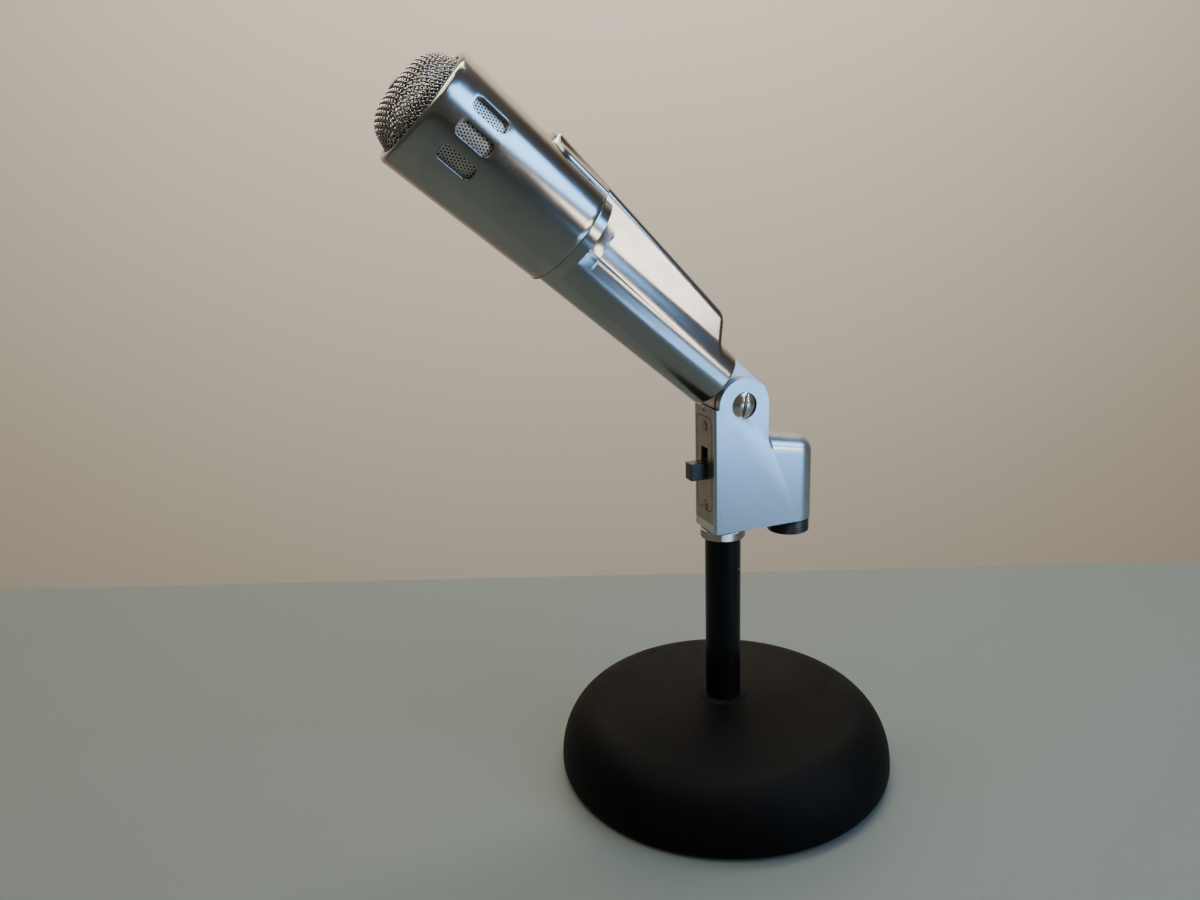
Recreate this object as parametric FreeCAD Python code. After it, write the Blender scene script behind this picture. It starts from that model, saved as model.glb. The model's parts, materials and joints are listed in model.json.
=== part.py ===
import FreeCAD, Part
import math
import os

# Desktop dynamic microphone with a swivel block, screwed onto a weighted desk stand.
# Frame: origin at the centre of the base's underside, +Z up, the head points to -Y.
# All sizes are in millimetres.

V = FreeCAD.Vector

# Stand
baseRadius = 76.2            # a 6 in base
baseWidest = 5.3             # height of the widest ring
shoulderRadius = 57.0        # where the rounded shoulder meets the shallow top
shoulderTop = 30.5
footRadius = 9.4             # casting's rise around the tube
footTop = 34.8
padThickness = 1.2
padRadius = 73.0
tubeRadius = 7.94            # 5/8 in tube
tubeBore = 6.2
tubeBottom = 4.0
threadRadius = 7.6
threadBottom = 111.6
threadTop = 125.5
nutAcross = 24.0
nutBottom = 6.4
nutHeight = 6.0
washerRadius = 14.5
washerThickness = 1.6
ringRadius = 10.0
ringBottom = 112.4
ringTop = 116.4

# Swivel block
blockHalf = 9.8              # half its width
blockFront = -8.8
blockBottom = 116.7
pivotY = 5.35
pivotZ = 172.9
earRadius = 11.7
shoulderZ = 172.1            # front shoulder beside the ears
slotHalf = 5.8               # half the gap between the ears
gapRadius = 12.7             # round floor of the gap, about the pivot
gapRear = 8.4                # how far below the pivot the gap is open at the rear
barrelY = 33.2               # axis of the connector barrel
humpRise = 158.4             # top of the rear hump at the neck
humpDrop = 155.3             # top of the rear hump over the barrel's axis
humpRound = 7.4
frontRound = 1.2
notchRound = 3.0             # hollow corner between the neck and the hump
wall = 2.2
plateHalf = 8.4
plateThickness = 0.5
plateBottom = 120.5
plateTop = 171.6
screwHeights = (127.9, 163.6)
screwLength = 3.6
screwRadius = 1.2
screwHead = 2.3
bushingRadius = 8.1
bushingHeight = 9.1
wireRoomBottom = 135.0       # hollow between the switch and the connector
wireRoomTop = 141.0
pivotScrewRadius = 2.6
pivotHeadRadius = 5.6
pivotHeadSeat = 1.4          # depth of the counterbore in each ear
pivotHeadDome = 1.5
washerOuter = 7.5

# Switch
knobHalf = 3.0
knobBottom = 140.4
knobHeight = 7.6
knobReach = 7.8
knobTravel = 6.0
knobPlay = 0.15
caseFront = blockFront + plateThickness
caseBottom = 135.4
caseTop = 155.6
caseHalf = 6.4
caseDepth = 6.2
caseWall = 0.6
boardThickness = 1.4
tagPlaces = (-2.6, 2.6)      # solder tags, two columns of three
tagBottom = 141.0
tagPitch = 4.5
tagReach = 3.2

# Connector
shellRadius = 9.4
shellBore = 8.0
shellBottom = 110.2
shellLength = 16.0
shellNeck = 9.0              # the part of the shell inside the barrel
insulatorDepth = 4.4
pinRadius = 0.9
pinCircle = 3.9
pinLength = 13.0
setscrewRadius = 1.5
leadRadius = 0.7
leadHalfPitch = 1.2

# Microphone, in its own frame: local Z along the head axis, local Y towards the ridge,
# local origin on the pivot.
tiltAngle = 41.76            # head axis above the horizontal, degrees
headOffset = 7.74            # head axis above the pivot
headRear = 103.7
headFront = 174.6
headRadiusAt100 = 21.66
headTaper = 0.035            # radius gained per millimetre
headWall = 2.0
lipRadius = 21.4
lipLength = 3.0
lipRound = 1.8
windowRear = 148.8
windowLength = 14.5
windowWidth = 6.2
windowRound = 2.2
windowAngles = (65.5, 91.0, 116.5)
shankStart = 14.2
shankEnd = 100.0
shankCentre = 1.75
shankHalfStart = 12.1
shankHalfEnd = 12.9
shankFlatStart = 0.65
shankFlatEnd = 1.5
ridgeAtPivot = 21.7          # ridge line's height where it would pass the pivot
ridgeSlope = 0.0885
ridgeFoot = 25.0
ridgeCorner = 31.0
hoodEnd = 131.2
hoodHalf = 13.2              # half width of the hood that lies on the head
hoodLip = 1.5                # its thickness at the sides
hoodRound = 9.0
ridgeTopStart = 6.2          # half width of the ridge's top, rear and front
ridgeTopEnd = 8.6
ridgeBaseStart = 9.2
ridgeBaseEnd = 12.8
ridgeRound = 3.6
ductRadius = 4.2
lugHalf = 5.4
lugRadius = 12.2
lugTop = 13.2
lugRear = -6.4
lugPlugRadius = 9.0
lugPlugLength = 9.0
grilleBase = headFront - lipLength
grilleThickness = 1.0
grilleHeight = 185.9
grilleOuter = (21.2, 173.4), (20.1, 177.0), (19.0, 180.4), (15.9, 183.7), (12.5, 184.9), (8.8, 185.3)
buttonRadius = 2.9
screenThickness = 0.5
screenMargin = 4.0           # the screen reaches this far past the windows
capsuleRear = 138.0
capsuleFront = 166.0
capsuleRadius = 17.5
capsuleWall = 1.2
coilRadius = 8.6
coilWall = 0.5


# ---------------------------------------------------------------- small shape helpers

def cylinder(radius, height, base=(0, 0, 0), axis=(0, 0, 1)):
    return Part.makeCylinder(radius, height, V(*base), V(*axis))


def tube(outer, inner, height, base=(0, 0, 0), axis=(0, 0, 1)):
    return cylinder(outer, height, base, axis).cut(cylinder(inner, height, base, axis))


def block(x0, x1, y0, y1, z0, z1):
    return Part.makeBox(x1 - x0, y1 - y0, z1 - z0, V(x0, y0, z0))


def prism(points, axis, start, depth):
    """Closed polygon in the plane across one axis, pushed along that axis."""
    place = {"x": lambda a, b: V(start, a, b), "y": lambda a, b: V(a, start, b), "z": lambda a, b: V(a, b, start)}
    way = {"x": V(depth, 0, 0), "y": V(0, depth, 0), "z": V(0, 0, depth)}[axis]
    corners = [place[axis](a, b) for a, b in points]
    return Part.Face(Part.makePolygon(corners + corners[:1])).extrude(way)


def revolved(edges):
    """Solid of revolution about Z from a closed outline in the XZ plane."""
    face = Part.Face(Part.Wire(Part.__sortEdges__(edges)))
    return face.revolve(V(0, 0, 0), V(0, 0, 1), 360)


def turned(points):
    """Solid of revolution about Z from (radius, height) corners."""
    corners = [V(r, 0, z) for r, z in points]
    return Part.Face(Part.makePolygon(corners + corners[:1])).revolve(V(0, 0, 0), V(0, 0, 1), 360)


def line(a, b):
    return Part.LineSegment(V(a[0], 0, a[1]), V(b[0], 0, b[1])).toShape()


def arc(a, m, b):
    return Part.Arc(V(a[0], 0, a[1]), V(m[0], 0, m[1]), V(b[0], 0, b[1])).toShape()


def hexagon(across, height, bottom, bore):
    corner = across / math.sqrt(3)
    points = [(corner * math.cos(math.radians(60 * k)), corner * math.sin(math.radians(60 * k))) for k in range(6)]
    return prism(points, "z", bottom, height).cut(cylinder(bore, height, (0, 0, bottom)))


def roundEdges(shape, radius, wanted):
    edges = [edge for edge in shape.Edges if wanted(edge)]
    return shape.makeFillet(radius, edges) if edges else shape


def group(shapes):
    return Part.makeCompound(shapes)


def micPlace(shape):
    """From the microphone's own frame to where it stands on the block."""
    placed = shape.copy()
    placed.rotate(V(0, 0, 0), V(1, 0, 0), 90 - tiltAngle)
    placed.translate(V(0, pivotY, pivotZ))
    return placed


def onHead(shape):
    """From a frame centred on the head axis to the microphone's own frame."""
    moved = shape.copy()
    moved.translate(V(0, headOffset, 0))
    return moved


def headRadius(s):
    return headRadiusAt100 + headTaper * (s - 100.0)


# ---------------------------------------------------------------- stand

def curve(points):
    """Smooth curve in the XZ plane through (radius, height) points."""
    spline = Part.BSplineCurve()
    spline.interpolate([V(r, 0, z) for r, z in points])
    return spline.toShape()


def baseCasting():
    side = baseRadius - shoulderRadius
    rise = shoulderTop - baseWidest
    quarter = [math.radians(15 * k) for k in range(7)]
    shoulder = [(shoulderRadius + side * math.cos(t), baseWidest + rise * math.sin(t)) for t in quarter]
    rim = (baseRadius - 1.6, padThickness)
    rimMiddle = (baseRadius - 0.5, padThickness + 1.6)
    crown = (footRadius + 2.2, footTop - 1.0)
    crownMiddle = ((shoulderRadius + crown[0]) / 2, (shoulderTop + crown[1]) / 2 + 0.25)
    top = (tubeRadius, footTop)
    bottom = (tubeRadius, padThickness)
    outer = revolved([
        line(bottom, rim), arc(rim, rimMiddle, shoulder[0]), curve(shoulder),
        arc(shoulder[-1], crownMiddle, crown), line(crown, (footRadius, footTop)),
        line((footRadius, footTop), top), line(top, bottom),
    ])
    hollow = turned([
        (tubeRadius, padThickness), (baseRadius - 11, padThickness), (baseRadius - 13, 14), (52, 22), (24, 24),
        (20, 14), (tubeRadius, 14),
    ])
    return outer.cut(hollow)


def tubeWasher():
    return tube(washerRadius, tubeRadius, washerThickness, (0, 0, nutBottom + nutHeight))


def tubeNut():
    return hexagon(nutAcross, nutHeight, nutBottom, tubeRadius)


def standTube():
    body = cylinder(tubeRadius, threadBottom - tubeBottom, (0, 0, tubeBottom))
    thread = cylinder(threadRadius, threadTop - threadBottom, (0, 0, threadBottom))
    return body.fuse(thread).cut(cylinder(tubeBore, threadTop - tubeBottom, (0, 0, tubeBottom)))


def lockRing():
    ring = turned([
        (threadRadius + 0.08, ringBottom), (ringRadius - 0.9, ringBottom), (ringRadius, ringBottom + 0.9),
        (ringRadius, ringTop - 0.4), (ringRadius - 0.4, ringTop), (threadRadius + 0.08, ringTop),
    ])
    return ring


# ---------------------------------------------------------------- swivel block

def blockOutline():
    """Side of the block's neck and ears: front edge, shoulder, ear arc, rear edge."""
    angle = math.asin((shoulderZ - pivotZ) / earRadius)
    start = V(0, pivotY - earRadius * math.cos(angle), shoulderZ)
    top = V(0, pivotY, pivotZ + earRadius)
    end = V(0, pivotY + earRadius, pivotZ)
    corners = [end, V(0, end.y, blockBottom), V(0, blockFront, blockBottom), V(0, blockFront, shoulderZ), start]
    edges = [Part.LineSegment(a, b).toShape() for a, b in zip(corners, corners[1:])]
    edges.append(Part.Arc(start, top, end).toShape())
    neck = Part.Face(Part.Wire(edges)).extrude(V(2 * blockHalf, 0, 0))
    neck.translate(V(-blockHalf, 0, 0))
    return neck


def rearHump():
    """Connector barrel with its rounded top, joined to the neck."""
    full = block(-blockHalf, blockHalf, pivotY, barrelY, blockBottom, pivotZ)
    full = full.fuse(cylinder(blockHalf, pivotZ - blockBottom, (0, barrelY, blockBottom))).removeSplitter()
    slope = (humpDrop - humpRise) / (barrelY - pivotY - earRadius)
    roof = [(y, humpRise + slope * (y - pivotY - earRadius)) for y in (pivotY - 1, barrelY + blockHalf + 1)]
    lid = prism(roof + [(roof[1][0], pivotZ + 20), (roof[0][0], pivotZ + 20)], "x", -20, 40)
    hump = full.cut(lid)

    def onRoof(edge):
        middle = edge.valueAt((edge.FirstParameter + edge.LastParameter) / 2)
        level = humpRise + slope * (middle.y - pivotY - earRadius)
        return abs(middle.z - level) < 0.05 and middle.y > pivotY + 0.5

    return roundEdges(hump, humpRound, onRoof)


def swivelBlock():
    def frontUpright(edge):
        middle = edge.valueAt((edge.FirstParameter + edge.LastParameter) / 2)
        return abs(middle.y - blockFront) < 0.01 and abs(abs(middle.x) - blockHalf) < 0.01

    def atNotch(edge):
        middle = edge.valueAt((edge.FirstParameter + edge.LastParameter) / 2)
        return abs(middle.y - pivotY - earRadius) < 0.02 and 150 < middle.z < humpRise + 0.5

    shape = roundEdges(blockOutline(), frontRound, frontUpright).fuse(rearHump()).removeSplitter()
    shape = roundEdges(shape, notchRound, atNotch)
    floor = pivotZ - gapRadius
    rear = pivotY + earRadius + 1
    gap = cylinder(gapRadius, 2 * slotHalf, (-slotHalf, pivotY, pivotZ), (1, 0, 0))
    above = block(-slotHalf, slotHalf, blockFront - 1, rear, shoulderZ, pivotZ + 2 * earRadius)
    behind = block(-slotHalf, slotHalf, pivotY, rear, pivotZ - gapRear, shoulderZ)
    shape = shape.cut(gap).cut(above).cut(behind)
    # Room for the switch behind the front plate, and the plate's own recess.
    roomBack = caseFront + caseDepth + boardThickness + tagReach + 4
    room = block(-caseHalf - 0.2, caseHalf + 0.2, blockFront - 1, roomBack, caseBottom - 2, caseTop + 0.4)
    recess = block(-plateHalf, plateHalf, blockFront - 1, blockFront + plateThickness, plateBottom, plateTop + 4)
    shape = shape.cut(room).cut(recess)
    for z in screwHeights:
        shape = shape.cut(cylinder(screwRadius + 0.05, screwLength + 0.2, (0, blockFront, z), (0, 1, 0)))
    # Stand thread, connector barrel and the wire way between them.
    shape = shape.cut(cylinder(bushingRadius, bushingHeight, (0, 0, blockBottom)))
    shape = shape.cut(cylinder(shellNeck - 0.02, wireRoomTop - blockBottom, (0, barrelY, blockBottom)))
    shape = shape.cut(block(-3.2, 3.2, 4.0, barrelY, wireRoomBottom, wireRoomTop))
    shape = shape.cut(block(-2.6, 2.6, 7.0, 12.0, wireRoomTop - 2, floor + 3))
    shape = shape.cut(cylinder(pivotScrewRadius + 0.02, 60, (-30, pivotY, pivotZ), (1, 0, 0)))
    for side in (-1, 1):
        seat = (side * (blockHalf - pivotHeadSeat), pivotY, pivotZ)
        shape = shape.cut(cylinder(pivotHeadRadius + 0.25, 2 * pivotHeadSeat, seat, (side, 0, 0)))
    return shape


def threadBushing():
    return tube(bushingRadius, threadRadius + 0.06, bushingHeight, (0, 0, blockBottom))


def knobSlot(front):
    """The knob's slot with its travel, cut through a sheet at this depth."""
    return block(-knobHalf - knobPlay, knobHalf + knobPlay, front - 1, front + 2,
                 knobBottom - 0.2, knobBottom + knobHeight + knobTravel + 0.2)


def switchPlate():
    plate = block(-plateHalf, plateHalf, blockFront, blockFront + plateThickness, plateBottom, plateTop)
    plate = plate.cut(knobSlot(blockFront))
    for z in screwHeights:
        plate = plate.cut(cylinder(screwRadius + 0.05, 4, (0, blockFront - 1, z), (0, 1, 0)))
    notch = block(-1.3, 1.3, blockFront - 1, blockFront + 2, plateTop - 1.4, plateTop - 0.6)
    return plate.cut(notch)


def plateScrews():
    screws = []
    for z in screwHeights:
        shank = cylinder(screwRadius, screwLength, (0, blockFront, z), (0, 1, 0))
        head = cylinder(screwHead, 0.45, (0, blockFront - 0.45, z), (0, 1, 0))
        slot = block(-3, 3, blockFront - 1, blockFront - 0.2, z - 0.3, z + 0.3)
        screws.append(head.fuse(shank).cut(slot))
    return group(screws)


# The slide switch: a steel case against the back of the plate, its slider inside.

def switchCase():
    shell = block(-caseHalf, caseHalf, caseFront, caseFront + caseDepth, caseBottom, caseTop)
    inner = block(-caseHalf + caseWall, caseHalf - caseWall, caseFront + caseWall, caseFront + caseDepth + 1,
                  caseBottom + caseWall, caseTop - caseWall)
    return shell.cut(inner).cut(knobSlot(caseFront))


def switchBoard():
    back = caseFront + caseDepth
    return block(-caseHalf, caseHalf, back, back + boardThickness, caseBottom, caseTop)


def switchLugs():
    back = caseFront + caseDepth + boardThickness
    tags = []
    for x in tagPlaces:
        for row in range(3):
            z = tagBottom + tagPitch * row
            tags.append(block(x - 0.9, x + 0.9, back, back + tagReach, z - 0.2, z + 0.2))
    return group(tags)


def switchSlider():
    return block(-knobHalf - 1.8, knobHalf + 1.8, caseFront + 0.9, caseFront + 3.6,
                 knobBottom - 2.2, knobBottom + knobHeight + 0.6)


def switchKnob():
    knob = block(-knobHalf, knobHalf, blockFront - knobReach, caseFront + 0.9, knobBottom, knobBottom + knobHeight)

    def outer(edge):
        middle = edge.valueAt((edge.FirstParameter + edge.LastParameter) / 2)
        return abs(middle.y - (blockFront - knobReach)) < 0.01

    return roundEdges(knob, 0.4, outer)


def connectorShell():
    shell = tube(shellRadius, shellBore, blockBottom - shellBottom, (0, barrelY, shellBottom))
    neck = tube(shellNeck, shellBore, shellLength, (0, barrelY, shellBottom))
    shelf = tube(shellBore + 0.5, shellBore - 1.4, 1.0, (0, barrelY, shellBottom + shellLength - 1.0))
    return shell.fuse(neck).fuse(shelf)


def connectorInsulator():
    disc = cylinder(shellBore, insulatorDepth, (0, barrelY, shellBottom + shellLength - 1.0 - insulatorDepth))
    for x, y in pinPlaces():
        disc = disc.cut(cylinder(pinRadius, shellLength, (x, y, shellBottom + 1)))
    return disc


def pinPlaces():
    turns = [math.radians(90 * k) for k in range(4)]
    return [(pinCircle * math.sin(a), barrelY + pinCircle * math.cos(a)) for a in turns]


def connectorPins():
    return group([cylinder(pinRadius, pinLength, (x, y, shellBottom + 4.6)) for x, y in pinPlaces()])


def connectorSetscrew():
    depth = barrelY + blockHalf
    return cylinder(setscrewRadius, blockHalf - shellNeck + 0.02, (0, depth, blockBottom + 4.5), (0, -1, 0))


def ovalHead(side, slotAngle):
    """Slotted oval head seated in the ear's counterbore, dome outwards."""
    rim = 0.9
    ball = (pivotHeadRadius ** 2 + pivotHeadDome ** 2) / (2 * pivotHeadDome)
    dome = Part.makeSphere(ball, V(0, 0, rim + pivotHeadDome - ball))
    cap = dome.common(cylinder(pivotHeadRadius, 10, (0, 0, rim)))
    head = cylinder(pivotHeadRadius, rim).fuse(cap)
    slot = block(-8, 8, -0.75, 0.75, 1.0, 6)
    slot.rotate(V(0, 0, 0), V(0, 0, 1), slotAngle)
    head = head.cut(slot)
    head.rotate(V(0, 0, 0), V(0, 1, 0), 90 * side)
    head.translate(V(side * (blockHalf - pivotHeadSeat), pivotY, pivotZ))
    return head


def pivotScrew():
    length = 2 * blockHalf - 5.0
    shank = cylinder(pivotScrewRadius, length, (blockHalf - 1.3, pivotY, pivotZ), (-1, 0, 0))
    return ovalHead(1, 12).fuse(shank)


def pivotNut():
    """Slotted nut with the same head, on the far side."""
    return ovalHead(-1, 25)


def frictionWashers():
    depth = slotHalf - lugHalf
    return group([tube(washerOuter, pivotScrewRadius + 0.02, depth, (side * lugHalf, pivotY, pivotZ), (side, 0, 0))
                  for side in (-1, 1)])


def wire(points, radius):
    """Round wire along straight runs with rounded corners."""
    corners = [V(*p) for p in points]
    edges = []
    last = corners[0]
    for before, corner, after in zip(corners, corners[1:], corners[2:]):
        inward = (before - corner).normalize()
        outward = (after - corner).normalize()
        turn = math.pi - inward.getAngle(outward)
        bend = 0.4 * min(before.distanceToPoint(corner), corner.distanceToPoint(after))
        start = corner + inward * bend
        end = corner + outward * bend
        centreWay = (inward + outward).normalize()
        arcRadius = bend / math.tan(turn / 2)
        middle = corner + centreWay * (arcRadius / math.cos(turn / 2) - arcRadius)
        edges.append(Part.LineSegment(last, start).toShape())
        edges.append(Part.Arc(start, middle, end).toShape())
        last = end
    edges.append(Part.LineSegment(last, corners[-1]).toShape())
    path = Part.Wire(edges)
    ring = Part.Wire(Part.makeCircle(radius, corners[0], corners[1] - corners[0]))
    return path.makePipeShell([ring], True, False)


def blockLeads():
    top = shellBottom + shellLength + 1.6
    leads = []
    level = (wireRoomBottom + wireRoomTop) / 2
    for x in (-leadHalfPitch, leadHalfPitch):
        route = [(x, barrelY, top), (x, barrelY, level), (x, 9.0, level + x), (x, 9.0, caseTop)]
        leads.append(wire(route, leadRadius))
    return group(leads)


# ---------------------------------------------------------------- microphone

def stadium(s, half, flat, centre):
    """Upright stadium outline across the handle at distance s."""
    low = centre - flat
    high = centre + flat
    edges = [
        Part.LineSegment(V(half, low, s), V(half, high, s)).toShape(),
        Part.Arc(V(half, high, s), V(0, high + half, s), V(-half, high, s)).toShape(),
        Part.LineSegment(V(-half, high, s), V(-half, low, s)).toShape(),
        Part.Arc(V(-half, low, s), V(0, low - half, s), V(half, low, s)).toShape(),
    ]
    return Part.Wire(edges)


def ridgeOutline(s, topHalf, baseHalf, top, low, rounding):
    """Ridge section: sloping sides and a top with rounded corners."""
    sideStart = V(baseHalf, low, s)
    corner = V(topHalf, top, s)
    down = (sideStart - corner).normalize()
    across = V(-1, 0, 0)
    bend = (math.pi - down.getAngle(across)) / 2
    reach = rounding * math.tan(bend)
    a = corner + down * reach
    b = corner + across * reach
    inward = (down + across).normalize()
    m = corner + inward * (rounding / math.cos(bend) - rounding)

    def mirror(p):
        return V(-p.x, p.y, p.z)

    edges = [
        Part.LineSegment(sideStart, a).toShape(),
        Part.Arc(a, m, b).toShape(),
        Part.LineSegment(b, mirror(b)).toShape(),
        Part.Arc(mirror(b), mirror(m), mirror(a)).toShape(),
        Part.LineSegment(mirror(a), mirror(sideStart)).toShape(),
        Part.LineSegment(mirror(sideStart), sideStart).toShape(),
    ]
    return Part.Wire(edges)


def ridgeHeight(s):
    return ridgeAtPivot + ridgeSlope * s


def ridgeSolid(inset):
    """Ridge on the handle's back, from its rear end to the hood over the head."""
    start = ridgeFoot - 4.0
    sections = []
    for s, topHalf, baseHalf in ((start, ridgeTopStart, ridgeBaseStart), (hoodEnd, ridgeTopEnd, ridgeBaseEnd)):
        sections.append(ridgeOutline(s, topHalf - inset * 0.6, baseHalf - inset, ridgeHeight(s) - inset,
                                     shankCentre + 6.0, ridgeRound - inset * 0.6))
    return Part.makeLoft(sections, True, True)


def headCone(rear, front, inset):
    low = [(0, rear), (headRadius(rear) - inset, rear), (headRadius(front) - inset, front), (0, front)]
    return onHead(turned(low))


def hoodPlan():
    """Outline of the ridge seen from above, straight sides and a rounded front end."""
    slab = block(-hoodHalf, hoodHalf, -20, 50, 0, hoodEnd)

    def frontUpright(edge):
        middle = edge.valueAt((edge.FirstParameter + edge.LastParameter) / 2)
        return abs(middle.z - hoodEnd) < 0.01 and abs(abs(middle.x) - hoodHalf) < 0.01

    return roundEdges(slab, hoodRound, frontUpright)


def hoodShell():
    rear = headRear - 2.0
    front = hoodEnd + 1.0
    upper = block(-hoodHalf, hoodHalf, headOffset + 8, 50, rear, front)
    shell = headCone(rear, front, -hoodLip).cut(headCone(rear, front, 0))
    return shell.common(upper).common(hoodPlan())


def bodyCasting():
    shank = Part.makeLoft([
        stadium(shankStart, shankHalfStart, shankFlatStart, shankCentre),
        stadium(shankEnd, shankHalfEnd, shankFlatEnd, shankCentre),
    ], True, True)
    ridge = ridgeSolid(0)
    # Rear end of the ridge slopes up from its foot, the hood's end is rounded down to the head.
    footCorner = (12.0, ridgeFoot - 1.6)
    rearCut = prism([(footCorner[0], footCorner[1]), (ridgeHeight(ridgeCorner) + 2, ridgeCorner + 1.2),
                     (45, ridgeCorner + 1.2), (45, 0), (footCorner[0], 0)], "x", -20, 40)
    hoodTop = ridgeHeight(hoodEnd)
    noseCut = prism([(hoodTop - 3.0, hoodEnd + 1), (hoodTop - 3.0, hoodEnd), (hoodTop - 0.9, hoodEnd - 1.6),
                     (hoodTop + 0.1, hoodEnd - 5.0), (hoodTop + 5, hoodEnd - 5.0), (hoodTop + 5, hoodEnd + 1)],
                    "x", -20, 40)
    ridge = ridge.cut(rearCut).common(hoodPlan()).fuse(hoodShell()).cut(noseCut)
    # Flare that carries the head, as a concave cone about the head axis.
    neckRadius = headRadius(headRear)
    rearEnd = (12.0, headRear - 12.0)
    flare = onHead(revolved([
        line((0, rearEnd[1]), rearEnd), arc(rearEnd, (14.2, headRear - 4.6), (neckRadius, headRear - 0.6)),
        line((neckRadius, headRear - 0.6), (neckRadius, headRear)), line((neckRadius, headRear), (0, headRear)),
        line((0, headRear), (0, rearEnd[1])),
    ]))
    solid = shank.fuse(ridge).fuse(flare)
    solid = solid.cut(headCone(headRear, hoodEnd + 3, 0.0))
    # The spigot that the head shell fits over.
    spigotEnd = headRear + 8.0
    spigot = onHead(turned([
        (headRadius(headRear) - headWall - 2.0, headRear - 1.0), (headRadius(headRear) - headWall, headRear - 1.0),
        (headRadius(spigotEnd) - headWall, spigotEnd), (headRadius(headRear) - headWall - 2.0, spigotEnd),
    ]))
    bore = Part.makeLoft([
        stadium(shankStart + 9.0, shankHalfStart - wall, shankFlatStart, shankCentre),
        stadium(shankEnd, shankHalfEnd - wall, shankFlatEnd, shankCentre),
    ], True, True)
    mouth = onHead(turned([(0, headRear - 6.0), (10.5, headRear - 6.0), (17.0, headRear), (0, headRear)]))
    start = ridgeFoot + 8.0
    ridgeRoom = ridgeSolid(wall).cut(prism([(0, start - 12), (40, start), (40, 0), (0, 0)], "x", -20, 40))
    ridgeRoom = ridgeRoom.cut(prism([(-5, headRear - 6.0), (45, headRear - 6.0), (45, 150), (-5, 150)], "x", -20, 40))
    plug = cylinder(lugPlugRadius, 12.0, (0, shankCentre, shankStart - 1))
    solid = solid.cut(bore).cut(mouth).cut(ridgeRoom).cut(plug)
    return solid.fuse(spigot.cut(headCone(headRear - 2, headRear, 0).cut(headCone(headRear - 2, headRear, 4.6))))


def pivotLug():
    disc = cylinder(lugRadius, 2 * lugHalf, (-lugHalf, 0, 0), (1, 0, 0))
    arm = block(-lugHalf, lugHalf, -0.8, lugTop, lugRear, shankStart)
    plug = cylinder(lugPlugRadius, lugPlugLength, (0, shankCentre, shankStart))
    lug = disc.fuse(arm).cut(block(-10, 10, -20, 20, shankStart, shankStart + 10))
    lug = lug.fuse(plug)
    wireWay = cylinder(2.2, 40, (0, 7.4, lugRear - 1), (0, 0, 1))
    return lug.cut(wireWay).cut(cylinder(pivotScrewRadius + 0.05, 40, (-20, 0, 0), (1, 0, 0)))


def headShell():
    rear = (headRadius(headRear), headRear)
    edgeStart = headFront - lipRound
    edge = (headRadius(edgeStart), edgeStart)
    edgeEnd = (edge[0] - lipRound, headFront)
    edgeMiddle = (edge[0] - lipRound * 0.29, headFront - lipRound * 0.29)
    inside = headFront - lipLength
    shell = revolved([
        line(rear, edge), arc(edge, edgeMiddle, edgeEnd), line(edgeEnd, (lipRadius, headFront)),
        line((lipRadius, headFront), (lipRadius, inside)),
        line((lipRadius, inside), (headRadius(inside) - headWall, inside)),
        line((headRadius(inside) - headWall, inside), (rear[0] - headWall, headRear)),
        line((rear[0] - headWall, headRear), rear),
    ])
    window = block(-windowWidth / 2, windowWidth / 2, 10, 40, windowRear, windowRear + windowLength)
    corners = [edge for edge in window.Edges if abs(edge.tangentAt(edge.FirstParameter).y) > 0.9]
    window = window.makeFillet(windowRound, corners)
    for angle in windowAngles:
        for side in (-1, 1):
            opening = window.copy()
            opening.rotate(V(0, 0, 0), V(0, 0, 1), side * angle)
            shell = shell.cut(opening)
    return onHead(shell)


def windowScreen():
    rear = windowRear - screenMargin
    front = windowRear + windowLength + screenMargin
    return headCone(rear, front, headWall).cut(headCone(rear, front, headWall + screenThickness))


def grilleMesh():
    """Dome of woven wire: a flange, a steep side, a rounded shoulder and a nearly flat top."""
    t = grilleThickness
    flange = headRadius(grilleBase) - headWall - 0.2
    start = grilleOuter[0][0]
    outer = [(flange, grilleBase), (start, grilleBase), *grilleOuter, (0, grilleHeight)]
    shrink = (start - t) / start
    inside = [(r * shrink, s - t) for r, s in reversed(grilleOuter[1:])]
    inner = [(0, grilleHeight - t), *inside, (start - t, grilleBase - t), (flange, grilleBase - t)]
    return onHead(turned(outer + inner))


def grilleRing():
    outer = headRadius(grilleBase - 3.0) - headWall
    return onHead(tube(outer - 0.1, 18.8, 1.8, (0, 0, grilleBase - grilleThickness - 1.8)))


def grilleButton():
    return onHead(cylinder(buttonRadius, 0.45, (0, 0, grilleHeight)))


def dustCloth():
    return onHead(cylinder(18.7, 0.5, (0, 0, grilleBase - grilleThickness - 1.8)))


def capsuleCase():
    case = tube(capsuleRadius, capsuleRadius - capsuleWall, capsuleFront - capsuleRear, (0, 0, capsuleRear))
    back = tube(capsuleRadius, 4.0, capsuleWall, (0, 0, capsuleRear))
    return onHead(case.fuse(back))


def resonatorPlate():
    disc = cylinder(capsuleRadius - capsuleWall, 1.0, (0, 0, capsuleFront - 1.0))
    disc = disc.cut(cylinder(1.6, 3, (0, 0, capsuleFront - 2)))
    for k in range(8):
        a = math.radians(45 * k)
        disc = disc.cut(cylinder(1.4, 3, (9.5 * math.cos(a), 9.5 * math.sin(a), capsuleFront - 2)))
    return onHead(disc)


def diaphragm():
    return onHead(cylinder(capsuleRadius - 1.3, 0.3, (0, 0, capsuleFront - 4.0)))


def voiceCoil():
    return onHead(tube(coilRadius, coilRadius - coilWall, 5.0, (0, 0, capsuleFront - 9.0)))


def topPlate():
    return onHead(tube(capsuleRadius - capsuleWall, coilRadius + coilWall, 2.6, (0, 0, capsuleFront - 9.6)))


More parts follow.
